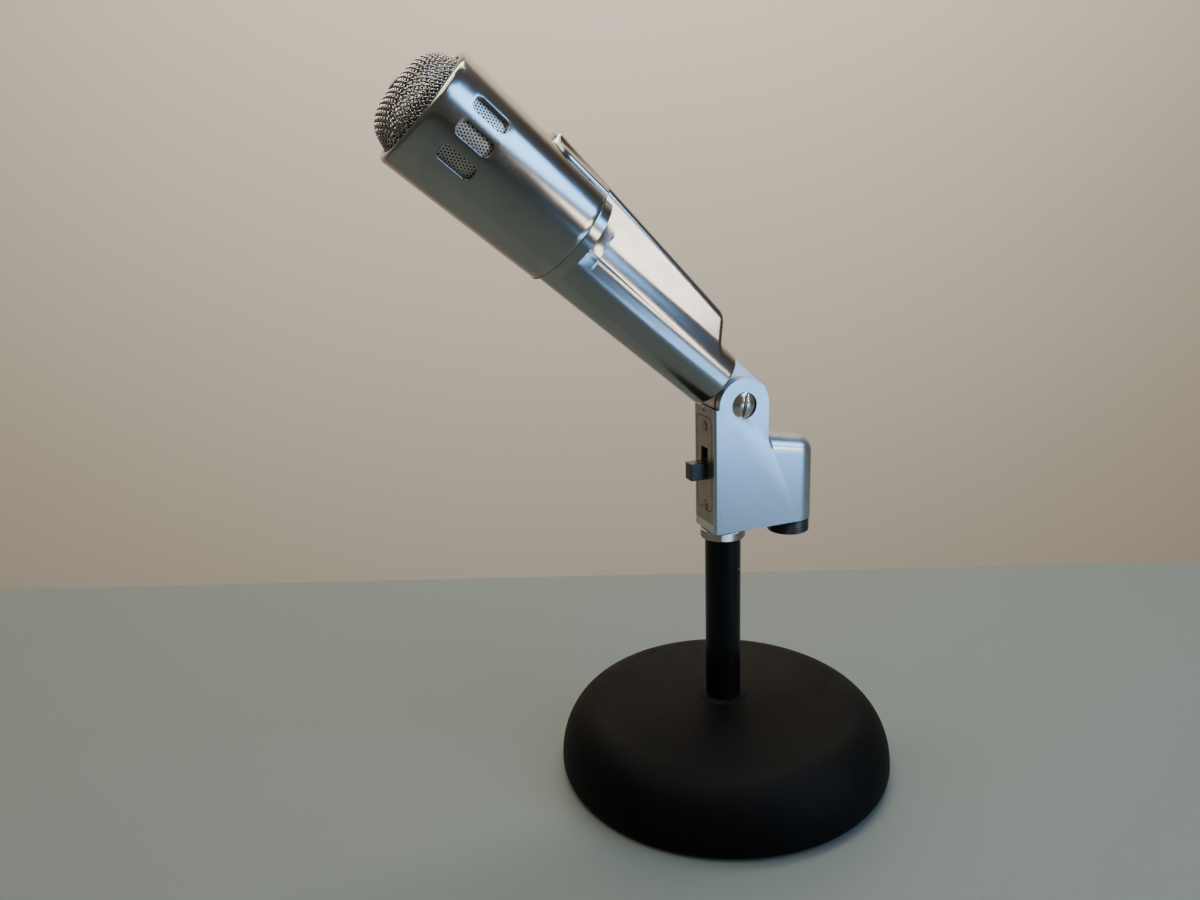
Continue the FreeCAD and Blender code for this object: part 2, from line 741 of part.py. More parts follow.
def magnet():
    return onHead(tube(capsuleRadius - 2.4, 10.6, 12.0, (0, 0, capsuleFront - 21.6)))


def polePiece():
    foot = cylinder(capsuleRadius - capsuleWall, 2.6, (0, 0, capsuleFront - 24.2))
    pole = cylinder(7.6, 17.2, (0, 0, capsuleFront - 24.2))
    return onHead(foot.fuse(pole))


def shockRings():
    rings = []
    for s in (capsuleRear + 1.0, capsuleFront - 4.0):
        radius = headRadius(s) - headWall - (screenThickness if s > windowRear else 0.0)
        rings.append(tube(radius - 0.05, capsuleRadius, 3.0, (0, 0, s)))
    return onHead(group(rings))


def ductTube():
    """Bass duct against the ridge's inner roof, parallel to the ridge line."""
    start = 40.0
    angle = math.degrees(math.atan(ridgeSlope))
    duct = tube(ductRadius, ductRadius - 0.8, 54.0, (0, 0, 0))
    duct.rotate(V(0, 0, 0), V(1, 0, 0), -angle)
    duct.translate(V(0, ridgeHeight(start) - wall - ductRadius - 0.1, start))
    return duct


def transformerCore():
    core = block(-6.5, 6.5, -5.5, 7.5, 52, 70)
    window = block(-7, 7, -2.4, 4.4, 55, 67)
    return core.cut(window.cut(block(-7, 7, -0.6, 2.6, 55, 67)))


def transformerCoil():
    outer = block(-8.6, 8.6, -2.3, 4.3, 55.2, 66.8)
    return outer.cut(block(-6.5, 6.5, -0.6, 2.6, 55, 67))


def bodyLeads():
    leads = []
    for x in (-1.3, 1.3):
        leads.append(wire([(x, 4.5, 70.1), (x, 4.5, 90.0), (x, 7.7, 112.0), (x, 7.7, capsuleRear - 0.4)], leadRadius))
        leads.append(wire([(x, 1.0, 51.9), (x, 1.0, 40.0), (x, 7.0, 29.0), (x, 7.4, 18.0)], leadRadius))
    return group(leads)


pieces = {
    "base_casting": baseCasting,
    "base_pad": lambda: cylinder(padRadius, padThickness),
    "stand_tube": standTube,
    "tube_nut": tubeNut,
    "tube_washer": tubeWasher,
    "lock_ring": lockRing,
    "swivel_block": swivelBlock,
    "thread_bushing": threadBushing,
    "switch_plate": switchPlate,
    "plate_screws": plateScrews,
    "switch_case": switchCase,
    "switch_board": switchBoard,
    "switch_lugs": switchLugs,
    "switch_slider": switchSlider,
    "switch_knob": switchKnob,
    "connector_shell": connectorShell,
    "connector_insulator": connectorInsulator,
    "connector_pins": connectorPins,
    "connector_setscrew": connectorSetscrew,
    "pivot_screw": pivotScrew,
    "pivot_nut": pivotNut,
    "friction_washers": frictionWashers,
    "block_leads": blockLeads,
}

micPieces = {
    "pivot_lug": pivotLug,
    "body_casting": bodyCasting,
    "head_shell": headShell,
    "window_screen": windowScreen,
    "grille_mesh": grilleMesh,
    "grille_ring": grilleRing,
    "grille_button": grilleButton,
    "dust_cloth": dustCloth,
    "capsule_case": capsuleCase,
    "resonator_plate": resonatorPlate,
    "diaphragm": diaphragm,
    "voice_coil": voiceCoil,
    "top_plate": topPlate,
    "magnet": magnet,
    "pole_piece": polePiece,
    "shock_rings": shockRings,
    "duct_tube": ductTube,
    "transformer_core": transformerCore,
    "transformer_coil": transformerCoil,
    "body_leads": bodyLeads,
}

os.makedirs("parts", exist_ok=True)
for name, make in pieces.items():
    shape = make()
    shape.exportStep("parts/" + name + ".step")
    print(name, len(shape.Solids), shape.isValid(), round(shape.Volume, 1))
for name, make in micPieces.items():
    shape = micPlace(make())
    shape.exportStep("parts/" + name + ".step")
    print(name, len(shape.Solids), shape.isValid(), round(shape.Volume, 1))
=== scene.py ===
import json
import math

import bmesh
import bpy
import numpy as np
from mathutils import Matrix, Vector
from mathutils.geometry import delaunay_2d_cdt


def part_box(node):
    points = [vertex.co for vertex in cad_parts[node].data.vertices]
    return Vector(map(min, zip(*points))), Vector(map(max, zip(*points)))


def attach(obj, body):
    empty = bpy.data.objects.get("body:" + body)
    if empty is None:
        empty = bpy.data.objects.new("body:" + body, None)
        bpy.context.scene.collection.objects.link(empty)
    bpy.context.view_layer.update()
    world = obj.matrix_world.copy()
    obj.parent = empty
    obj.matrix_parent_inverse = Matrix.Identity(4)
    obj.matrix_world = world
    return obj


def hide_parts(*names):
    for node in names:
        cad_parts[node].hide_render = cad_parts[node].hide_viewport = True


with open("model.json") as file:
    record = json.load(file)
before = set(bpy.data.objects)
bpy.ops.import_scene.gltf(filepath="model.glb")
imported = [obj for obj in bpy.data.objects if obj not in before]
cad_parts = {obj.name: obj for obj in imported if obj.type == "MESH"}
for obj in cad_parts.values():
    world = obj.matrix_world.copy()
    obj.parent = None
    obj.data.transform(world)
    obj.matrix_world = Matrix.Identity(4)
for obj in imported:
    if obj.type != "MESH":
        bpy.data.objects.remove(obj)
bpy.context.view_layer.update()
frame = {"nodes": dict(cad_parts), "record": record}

nodes = frame["nodes"]
record = frame["record"]
mm = 0.001
slotOf = {part["node"]: part["material_slot"] for part in record["subparts"]}
bodyOf = {node: body for body, members in record["behaviour"]["bodies"].items() for node in members}
joints = {joint["name"]: joint for joint in record["behaviour"]["joints"]}
pivot = Vector(joints["microphone_tilt"]["pos_m"])
headTilt = math.radians(41.76)  # head axis above the horizontal
headTurn = (headTilt - math.radians(90), 0, 0)
micPlace = Matrix.Translation(pivot) @ Matrix.Rotation(-headTurn[0], 4, "X")
print("frame loaded:", len(nodes), "nodes")


# node trees: one class for a socket, one for its tree

class Pin:
    # a node's output that does arithmetic, so a pattern reads as a formula

    def __init__(self, tree, socket):
        self.tree = tree
        self.socket = socket

    def calc(self, operation, *others):
        return self.tree.add("ShaderNodeMath", {"operation": operation}, dict(enumerate((self, *others))))

    def __add__(self, other):
        return self.calc("ADD", other)

    def __radd__(self, other):
        return self.calc("ADD", other)

    def __sub__(self, other):
        return self.calc("SUBTRACT", other)

    def __rsub__(self, other):
        return self.tree.add("ShaderNodeMath", {"operation": "SUBTRACT"}, {0: other, 1: self})

    def __mul__(self, other):
        return self.calc("MULTIPLY", other)

    def __rmul__(self, other):
        return self.calc("MULTIPLY", other)

    def __truediv__(self, other):
        return self.calc("DIVIDE", other)

    def __rtruediv__(self, other):
        return self.tree.add("ShaderNodeMath", {"operation": "DIVIDE"}, {0: other, 1: self})

    def over(self, edge):
        return self.calc("GREATER_THAN", edge)

    def at(self, name):
        return Pin(self.tree, self.socket.node.outputs[name])

    def ramp(self, low, high, fromLow=0.0, fromHigh=1.0):
        return self.tree.add("ShaderNodeMapRange", {"interpolation_type": "SMOOTHSTEP"}, {
            "Value": self, "From Min": fromLow, "From Max": fromHigh, "To Min": low, "To Max": high})


class Tree:
    def __init__(self, tree):
        self.tree = tree

    def add(self, kind, settings=None, sockets=None, out=0):
        node = self.tree.nodes.new(kind)
        for name, value in (settings or {}).items():
            setattr(node, name, value)
        for key, value in (sockets or {}).items():
            if isinstance(value, Pin):
                self.tree.links.new(value.socket, node.inputs[key])
            else:
                node.inputs[key].default_value = value
        return Pin(self, node.outputs[out]) if node.outputs else node

    def link(self, pin, socket):
        self.tree.links.new(pin.socket, socket)


class Finish(Tree):
    # a surface material: shader, Object coordinates and the usual patterns

    def __init__(self, name, fixed):
        self.material = bpy.data.materials.new(name)
        self.material.use_nodes = True
        super().__init__(self.material.node_tree)
        self.tree.nodes.clear()
        output = self.tree.nodes.new("ShaderNodeOutputMaterial")
        self.shader = self.tree.nodes.new("ShaderNodeBsdfPrincipled")
        self.tree.links.new(self.shader.outputs[0], output.inputs[0])
        for key, value in fixed.items():
            self.shader.inputs[key].default_value = value
        self.place = self.add("ShaderNodeTexCoord", out="Object")

    def set(self, name, pin):
        self.link(pin, self.shader.inputs[name])

    def noise(self, size, detail=3.0, rough=0.55, stretch=(1, 1, 1), shift=0.0, turn=(0, 0, 0)):
        where = self.mapped(stretch, shift, turn)
        return self.add("ShaderNodeTexNoise", None, {
            "Vector": where, "Scale": 1.0 / size, "Detail": detail, "Roughness": rough})

    def cells(self, size, shift=0.0):
        where = self.mapped((1, 1, 1), shift, (0, 0, 0))
        return self.add("ShaderNodeTexVoronoi", {"feature": "F1"}, {"Vector": where, "Scale": 1.0 / size})

    def mapped(self, stretch, shift, turn):
        return self.add("ShaderNodeMapping", None, {
            "Vector": self.place, "Location": (shift, shift, shift), "Rotation": turn, "Scale": stretch})

    def mix(self, factor, first, second):
        pins = {"Factor": factor, 6: self.tone(first), 7: self.tone(second)}
        return self.add("ShaderNodeMix", {"data_type": "RGBA"}, pins, out=2)

    def tone(self, colour):
        return colour if isinstance(colour, Pin) else (*colour, 1.0)

    def relief(self, height, depth, strength=1.0):
        return self.add("ShaderNodeBump", None, {"Height": height, "Distance": depth, "Strength": strength})

    def scratches(self, spacing, seed, turn, thin=0.02):
        # long thin cells, cut to hairlines
        lines = self.noise(spacing, 1.0, 0.3, (1, 1, 0.02), seed, turn)
        return (lines - 0.5).calc("ABSOLUTE").ramp(1.0, 0.0, 0.0, thin)


# materials

wrinkleLook = {
    "grain": 0.9 * mm, "depth": 0.16 * mm, "paint": (0.0015, 0.0015, 0.0015), "dust": (0.007, 0.007, 0.0067),
}


def wrinklePaint():
    look = wrinkleLook
    f = Finish("wrinklePaint", {"Roughness": 0.5, "Specular IOR Level": 0.07})
    cell = f.cells(look["grain"]).ramp(0.0, 1.0, 0.05, 0.75)
    fine = f.noise(look["grain"] * 0.35, 4.0)
    height = cell * 0.65 + fine * 0.5
    wear = f.noise(38 * mm, 5.0, 0.65).ramp(0.0, 1.0, 0.45, 0.75)
    f.set("Base Color", f.mix(wear * 0.35 + fine * 0.12, look["paint"], look["dust"]))
    f.set("Roughness", 0.50 + wear * 0.14 + fine * 0.08)
    f.set("Normal", f.relief(height, look["depth"], 0.55))
    return f.material


enamelLook = {"paint": (0.0012, 0.0012, 0.0013), "rubbed": (0.004, 0.004, 0.0042), "bare": (0.55, 0.53, 0.5)}


def blackEnamel():
    look = enamelLook
    f = Finish("blackEnamel", {"Coat Weight": 0.05, "Coat Roughness": 0.08, "Specular IOR Level": 0.15})
    rub = f.noise(9 * mm, 5.0, 0.7, (1, 1, 0.3))
    chip = f.noise(5.5 * mm, 2.0, 0.8, shift=3.1).ramp(0.0, 1.0, 0.735, 0.745)
    f.set("Base Color", f.mix(chip, f.mix(rub, look["paint"], look["rubbed"]), look["bare"]))
    f.set("Roughness", 0.2 + rub * 0.22 + chip * 0.2)
    f.set("Metallic", chip * 0.8)
    f.set("Normal", f.relief(f.noise(1.6 * mm, 3.0), 0.02 * mm, 0.5))
    return f.material


def satinMetal(name, colour, shade, rough, turn, marks):
    # polished casting: faint draw lines, hairline scratches and hand marks
    f = Finish(name, {"Metallic": 1.0})
    smudge = f.noise(16 * mm, 5.0, 0.6).ramp(0.0, 1.0, 0.35, 0.7)
    drawn = f.noise(0.35 * mm, 2.0, 0.5, (1, 1, 0.02), 1.7, turn)
    crossed = f.scratches(1.1 * mm, 4.0, (0.7, 0.3, 0.2)) + f.scratches(1.5 * mm, 9.0, (1.9, -0.6, 1.1))
    few = f.noise(7 * mm, 2.0, shift=2.3).ramp(0.0, 1.0, 0.5, 0.68)
    specks = f.cells(1.4 * mm, shift=0.4).ramp(1.0, 0.0, 0.03, 0.06) * f.noise(5 * mm, 1.0, shift=5).over(0.56)
    f.set("Base Color", f.mix(smudge * 0.35 + specks * 0.5, colour, shade))
    f.set("Roughness", rough + smudge * 0.035 + drawn * 0.04 + crossed * few * (0.12 * marks) + specks * 0.1)
    height = drawn * 0.3 - crossed * few * (0.5 * marks) - specks * 0.4 + f.noise(9 * mm, 2.0) * 0.5
    f.set("Normal", f.relief(height, 0.008 * mm, 0.6))
    return f.material


def plainFinish(name, colour, shade, rough, metallic, grain, depth):
    # small and inner pieces: two tones, uneven gloss and a fine grain
    f = Finish(name, {"Metallic": metallic, "Sheen Weight": 0.4 if name == "felt" else 0.0})
    patch = f.noise(grain * 8 * mm, 4.0, 0.6).ramp(0.0, 1.0, 0.3, 0.7)
    fine = f.noise(grain * mm, 4.0)
    f.set("Base Color", f.mix(patch * 0.6 + fine * 0.25, colour, shade))
    f.set("Roughness", rough + patch * 0.1 + fine * 0.08)
    f.set("Normal", f.relief(fine, depth * mm, 0.6))
    return f.material


plateLook = {
    "metal": (0.36, 0.345, 0.31), "dull": (0.27, 0.255, 0.225), "ink": (0.012, 0.011, 0.01),
    "border": 7.0 * mm, "corner": 3.0 * mm, "low": 126.0 * mm, "high": 168.0 * mm, "line": 0.16 * mm,
}


def printedPlate():
    # satin plate with a thin printed border that has rounded corners
    look = plateLook
    f = Finish("printedPlate", {"Metallic": 0.85})
    spot = f.add("ShaderNodeSeparateXYZ", None, {0: f.place})
    middle = (look["low"] + look["high"]) / 2
    straight = middle - look["low"] - look["corner"]
    sideways = (spot.at("X").calc("ABSOLUTE") - (look["border"] - look["corner"])).calc("MAXIMUM", 0.0)
    upright = ((spot.at("Z") - middle).calc("ABSOLUTE") - straight).calc("MAXIMUM", 0.0)
    distance = ((sideways * sideways + upright * upright).calc("SQRT") - look["corner"]).calc("ABSOLUTE")
    worn = f.noise(0.9 * mm, 3.0).ramp(0.5, 1.0, 0.3, 0.45)
    ink = distance.ramp(1.0, 0.0, look["line"], look["line"] * 1.6) * worn
    brushed = f.noise(0.4 * mm, 2.0, 0.5, (1, 1, 0.03))
    stain = f.noise(5 * mm, 4.0).ramp(0.0, 1.0, 0.4, 0.7)
    f.set("Base Color", f.mix(ink, f.mix(stain * 0.6, look["metal"], look["dull"]), look["ink"]))
    f.set("Roughness", 0.32 + brushed * 0.1 + ink * 0.2)
    f.set("Metallic", 0.9 - ink * 0.9)
    f.set("Normal", f.relief(brushed, 0.01 * mm, 0.5))
    return f.material


def joinedWords(slot):
    first, *rest = slot.split("_")
    return first + "".join(word.title() for word in rest)


# slot: colour, worn colour, roughness, draw lines' turn, strength of the marks
metalFinishes = {
    "satin_casting": ((0.345, 0.34, 0.335), (0.28, 0.275, 0.27), 0.15, headTurn, 0.5),
    "block_metal": ((0.48, 0.53, 0.60), (0.40, 0.445, 0.51), 0.25, (0, 0, 0), 0.8),
    "nickel": ((0.66, 0.62, 0.55), (0.36, 0.31, 0.25), 0.13, (0, 0, 0), 0.4),
    "lug_metal": ((0.52, 0.52, 0.52), (0.34, 0.34, 0.34), 0.34, headTurn, 1.0),
    "wire_mesh": ((0.44, 0.42, 0.395), (0.20, 0.18, 0.16), 0.17, (0, 0, 0), 0.3),
    "perforated_sheet": ((0.66, 0.60, 0.52), (0.42, 0.37, 0.31), 0.42, headTurn, 0.4),
    "screw_steel": ((0.36, 0.30, 0.23), (0.16, 0.12, 0.09), 0.33, (0, 0, 0), 0.6),
}
# slot: colour, second colour, roughness, metallic, grain and its depth in millimetres
plainFinishes = {
    "zinc_plate": ((0.55, 0.55, 0.50), (0.40, 0.40, 0.36), 0.30, 1.0, 1.2, 0.02),
    "brass": ((0.70, 0.52, 0.24), (0.42, 0.28, 0.12), 0.28, 1.0, 1.2, 0.02),
    "tinned_copper": ((0.72, 0.69, 0.62), (0.5, 0.42, 0.32), 0.28, 1.0, 1.2, 0.02),
    "copper_wire": ((0.62, 0.26, 0.12), (0.36, 0.13, 0.05), 0.32, 1.0, 0.4, 0.08),
    "soft_iron": ((0.34, 0.34, 0.35), (0.22, 0.20, 0.19), 0.38, 1.0, 1.2, 0.02),
    "magnet_metal": ((0.24, 0.24, 0.25), (0.14, 0.14, 0.14), 0.5, 0.8, 0.9, 0.08),
    "lamination": ((0.26, 0.26, 0.28), (0.14, 0.12, 0.11), 0.5, 0.9, 0.5, 0.06),
    "dark_shell": ((0.035, 0.033, 0.033), (0.07, 0.065, 0.06), 0.26, 0.6, 1.2, 0.02),
    "black_plastic": ((0.006, 0.006, 0.007), (0.02, 0.02, 0.022), 0.2, 0.0, 0.7, 0.012),
    "phenolic": ((0.11, 0.045, 0.02), (0.06, 0.025, 0.012), 0.35, 0.0, 1.2, 0.02),
    "rubber": ((0.014, 0.014, 0.014), (0.03, 0.03, 0.03), 0.62, 0.0, 1.2, 0.02),
    "felt": ((0.022, 0.03, 0.024), (0.04, 0.05, 0.042), 0.95, 0.0, 0.35, 0.25),
    "cloth": ((0.012, 0.012, 0.012), (0.03, 0.03, 0.03), 0.9, 0.0, 0.3, 0.15),
    "blackened": ((0.004, 0.004, 0.004), (0.01, 0.01, 0.01), 0.7, 0.0, 1.2, 0.02),
    "film": ((0.62, 0.50, 0.24), (0.5, 0.38, 0.16), 0.2, 0.0, 1.2, 0.02),
    "lead_red": ((0.35, 0.02, 0.015), (0.25, 0.015, 0.01), 0.4, 0.0, 1.2, 0.02),
}
finishes = {"wrinkle_iron": wrinklePaint(), "black_enamel": blackEnamel(), "plate_metal": printedPlate()}
finishes |= {slot: satinMetal(joinedWords(slot), *look) for slot, look in metalFinishes.items()}
finishes |= {slot: plainFinish(joinedWords(slot), *look) for slot, look in plainFinishes.items()}
for name, node in nodes.items():
    node.data.materials.clear()
    # the capsule's case gets the near-black finish as painted shade, standing in for the shade inside the head,
    # so that the screen's holes look dark
    node.data.materials.append(finishes["blackened" if name == "capsule_case" else slotOf[name]])
print("materials:", len(finishes))


# helpers for making pieces

def closedMesh(name, points, faces, smooth=True):
    mesh = bpy.data.meshes.new(name)
    mesh.from_pydata([tuple(p) for p in points], [], faces)
    bm = bmesh.new()
    bm.from_mesh(mesh)
    bmesh.ops.remove_doubles(bm, verts=bm.verts, dist=0.002 * mm)
    bmesh.ops.dissolve_degenerate(bm, edges=bm.edges, dist=0.001 * mm)
    bmesh.ops.recalc_face_normals(bm, faces=bm.faces)
    bm.to_mesh(mesh)
    bm.free()
    if smooth:
        mesh.shade_smooth()
    return mesh


def addPiece(name, mesh, node, stands=()):
    # a finished piece takes its body and its finish from the CAD node it stands for
    piece = bpy.data.objects.new(name, mesh)
    bpy.context.scene.collection.objects.link(piece)
    mesh.materials.clear()
    mesh.materials.append(finishes[slotOf[node]])
    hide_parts(node, *stands)
    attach(piece, bodyOf[node])
    return piece


def ringFaces(one, two):
    # quads between two rings of point numbers
    count = len(one)
    return [(one[k], one[(k + 1) % count], two[(k + 1) % count], two[k]) for k in range(count)]


def joinedMesh(mesh, extra):
    # several closed shells in one mesh
    bm = bmesh.new()
    for part in (mesh, *extra):
        bm.from_mesh(part)
    bm.to_mesh(mesh)
    bm.free()
    return mesh


def softenEdges(piece, width, segments, degrees):
    soften = piece.modifiers.new("soften", "BEVEL")
    soften.width = width
    soften.segments = segments
    soften.limit_method = "ANGLE"
    soften.angle_limit = math.radians(degrees)
    return soften


def gridFaces(rows, columns, start=0, flip=False):
    faces = []
    for i in range(rows - 1):
        for j in range(columns):
            a = start + i * columns + j
            b = start + i * columns + (j + 1) % columns
            quad = (a, b, b + columns, a + columns)
            faces.append(quad[::-1] if flip else quad)
    return faces


def lathe(profile, segments=96):
    # closed (radius, height) outline turned about Z, outline points off the axis only
    turns = np.linspace(0, 2 * math.pi, segments, endpoint=False)
    points = [(r * math.cos(a), r * math.sin(a), z) for r, z in profile for a in turns]
    return points, gridFaces(len(profile), segments)


# body casting: the handle, its ridge and the hood that lies on the head

handle = {
    "rear": 14.2 * mm, "front": 100.0 * mm, "centre": 1.75 * mm,
    "halfWidths": (12.1 * mm, 12.9 * mm), "flats": (0.65 * mm, 1.5 * mm),
    "ridgeLevel": 21.7 * mm, "ridgeSlope": 0.0885, "ridgeFoot": 23.4 * mm, "ridgeCorner": 32.2 * mm,
    "ridgeTops": (6.2 * mm, 8.6 * mm), "ridgeBases": (9.2 * mm, 12.8 * mm), "baseLevel": 7.75 * mm,
    "ridgeRound": 3.2 * mm, "endRound": 2.6 * mm, "valley": 2.2 * mm, "rearRound": 0.9 * mm,
    "headLevel": 7.74 * mm, "headRear": 103.7 * mm, "headRadiusAt100": 21.66 * mm, "headTaper": 0.035,
    "hoodEnd": 131.2 * mm, "hoodHalf": 13.2 * mm, "hoodRound": 9.0 * mm, "hoodLip": 1.5 * mm,
    "lipRound": 0.9 * mm, "sleeveGap": 0.5 * mm, "wall": 2.2 * mm, "columns": 256,
    # rows of points along the axis: from, to (in millimetres) and how many
    "bands": ((14.2, 15.4, 5), (15.4, 38, 60), (38, 88, 40), (88, 103.69, 44), (103.71, 118, 26),
              (118.4, 132.6, 46)),
}


def headRadius(s):
    return handle["headRadiusAt100"] + handle["headTaper"] * (s - 100 * mm)


def smoothMin(a, b, width):
    blend = np.clip(0.5 + 0.5 * (b - a) / width, 0, 1)
    return b + (a - b) * blend - width * blend * (1 - blend)


def roundMax(a, b, radius):
    # inside of both, with a rounded outer corner
    inner = np.minimum(np.maximum(a + radius, b + radius), 0)
    return inner + np.hypot(np.maximum(a + radius, 0), np.maximum(b + radius, 0)) - radius


def casting(x, n, s):
    # signed distance to the outside of the casting, in the microphone's own frame
    h = handle
    along = (s - h["rear"]) / (h["front"] - h["rear"])
    half = h["halfWidths"][0] + (h["halfWidths"][1] - h["halfWidths"][0]) * along
    flat = h["flats"][0] + (h["flats"][1] - h["flats"][0]) * along
    shank = np.hypot(x, np.maximum(np.abs(n - h["centre"]) - flat, 0)) - half
    ridgeAlong = (s - h["ridgeFoot"]) / (h["hoodEnd"] - h["ridgeFoot"])
    top = h["ridgeTops"][0] + (h["ridgeTops"][1] - h["ridgeTops"][0]) * ridgeAlong
    base = h["ridgeBases"][0] + (h["ridgeBases"][1] - h["ridgeBases"][0]) * ridgeAlong
    level = h["ridgeLevel"] + h["ridgeSlope"] * s
    lean = (base - top) / (level - h["baseLevel"])
    side = (np.abs(x) - base + lean * (n - h["baseLevel"])) / np.sqrt(1 + lean ** 2)
    ridge = roundMax(side, n - level, h["ridgeRound"])
    ridge = np.maximum(ridge, h["baseLevel"] - 0.6 * mm - n)
    rise = h["ridgeLevel"] + h["ridgeSlope"] * h["ridgeCorner"] - 10 * mm
    rise /= h["ridgeCorner"] - h["ridgeFoot"]
    rearPlane = (n - 12 * mm - rise * (s - h["ridgeFoot"])) / math.hypot(1, rise)
    ridge = roundMax(ridge, rearPlane, h["endRound"])
    out = smoothMin(shank, ridge, h["valley"])
    # concave flare up to the head's rear edge
    radial = np.hypot(x, n - h["headLevel"])
    neck = headRadius(h["headRear"])
    back = np.clip((h["headRear"] - 0.5 * mm - s) / (12 * mm), 0, 1)
    flare = radial - (neck - (neck - 11.5 * mm) * np.sqrt(1 - (1 - back) ** 2))
    flare = np.where(back >= 1, 1.0, flare * 0.75)
    out = smoothMin(out, flare, 2.6 * mm)
    # over the head only the hood is left, down to a sleeve hidden inside the head's wall
    plan = np.hypot(np.maximum(np.abs(x) - (h["hoodHalf"] - h["hoodRound"]), 0),
                    np.maximum(s - (h["hoodEnd"] - h["hoodRound"]), 0)) - h["hoodRound"]
    hood = smoothMin(ridge, radial - headRadius(s) - h["hoodLip"], 1.6 * mm)
    hood = np.maximum(roundMax(hood, plan, h["lipRound"]), h["headLevel"] + 6 * mm - n)
    return np.where(s > h["headRear"], hood, out)


def bodyCasting():
    h = handle
    rows = np.unique(np.concatenate([np.linspace(*band) for band in h["bands"]])) * mm
    columns = h["columns"]
    turn = np.linspace(0, 2 * math.pi, columns, endpoint=False)
    # columns gather on the ridge side, where the shape changes fastest
    turn = turn - 0.32 * np.sin(turn)
    s, angle = np.meshgrid(rows, turn, indexing="ij")
    centre = (5.5 + 2.24 * np.clip((s / mm - 14) / 70, 0, 1)) * mm
    low = np.full_like(s, 1.0 * mm)
    high = np.full_like(s, 36.0 * mm)
    for step in range(26):
        middle = (low + high) / 2
        inside = casting(middle * np.sin(angle), centre + middle * np.cos(angle), s) < 0
        low = np.where(inside, middle, low)
        high = np.where(inside, high, middle)
    radius = (low + high) / 2
    sleeve = headRadius(s) - h["sleeveGap"]
    radius = np.where(s > h["headRear"], np.maximum(radius, sleeve), radius)
    # rounded rear edge
    depth = np.clip(1 - (s - h["rear"]) / h["rearRound"], 0, 1)
    radius = radius - h["rearRound"] * (1 - np.sqrt(1 - depth ** 2))
    hollow = np.where(s > 98 * mm, headRadius(s) - 1.7 * mm, radius - h["wall"])
    hollow = np.where((s > 92 * mm) & (s <= 98 * mm), radius - h["wall"], hollow)

    def shell(spread, part):
        x = spread[part] * np.sin(angle[part])
        n = centre[part] + spread[part] * np.cos(angle[part])
        return np.stack([x, n, s[part]], axis=-1).reshape(-1, 3)

    # the hollow has half as many rows, and ends on the outside's last row
    outer = shell(radius, slice(None))
    inner = shell(hollow, slice(21, None, 2))
    faces = gridFaces(len(rows), columns) + gridFaces(len(inner) // columns, columns, len(outer), True)
    total = len(outer) + len(inner)
    faces += ringFaces(range(len(outer) - columns, len(outer)), range(total - columns, total))
    faces += [tuple(range(columns)), tuple(range(len(outer), len(outer) + columns))]
    mesh = closedMesh("bodyCasting", np.concatenate([outer, inner]), faces)
    mesh.transform(micPlace)
    mesh.set_sharp_from_angle(angle=math.radians(38))
    addPiece("bodyCasting", mesh, "body_casting")


# head shell: a shallow cone with six windows and a rounded lip

head = {
    "rear": 103.7 * mm, "front": 174.6 * mm, "wall": 2.0 * mm, "lip": 21.4 * mm, "lipDepth": 3.0 * mm,
    "lipRound": 1.8 * mm, "windowStart": 148.8 * mm, "windowLength": 14.5 * mm, "windowWidth": 6.2 * mm,
    "windowRound": 2.2 * mm, "windowAngles": (65.5, 91.0, 116.5), "edge": 0.28 * mm, "rearRound": 0.3 * mm,
}


def windowLoop(angle, grow):
    # rounded rectangle around one window, as (angle, s) points
    bend = head["windowRound"] + grow
    halfA = head["windowWidth"] / 2 + grow
    halfS = head["windowLength"] / 2 + grow
    middle = head["windowStart"] + head["windowLength"] / 2
    corners = ((1, 1), (-1, 1), (-1, -1), (1, -1))

    def onCorner(corner, degrees):
        a, b = corners[corner % 4]
        t = math.radians(degrees)
        return a * (halfA - bend) + bend * math.cos(t), middle + b * (halfS - bend) + bend * math.sin(t)

    loop = []
    for quarter in range(4):
        loop += [onCorner(quarter, 90 * quarter + 15 * k) for k in range(7)]
        # a few points along the straight side
        first, last = loop[-1], onCorner(quarter + 1, 90 * (quarter + 1))
        for k in (1, 2, 3):
            loop.append((first[0] + (last[0] - first[0]) * k / 4, first[1] + (last[1] - first[1]) * k / 4))
    scale = headRadius(middle)
    return [(angle + x / scale, s) for x, s in loop]


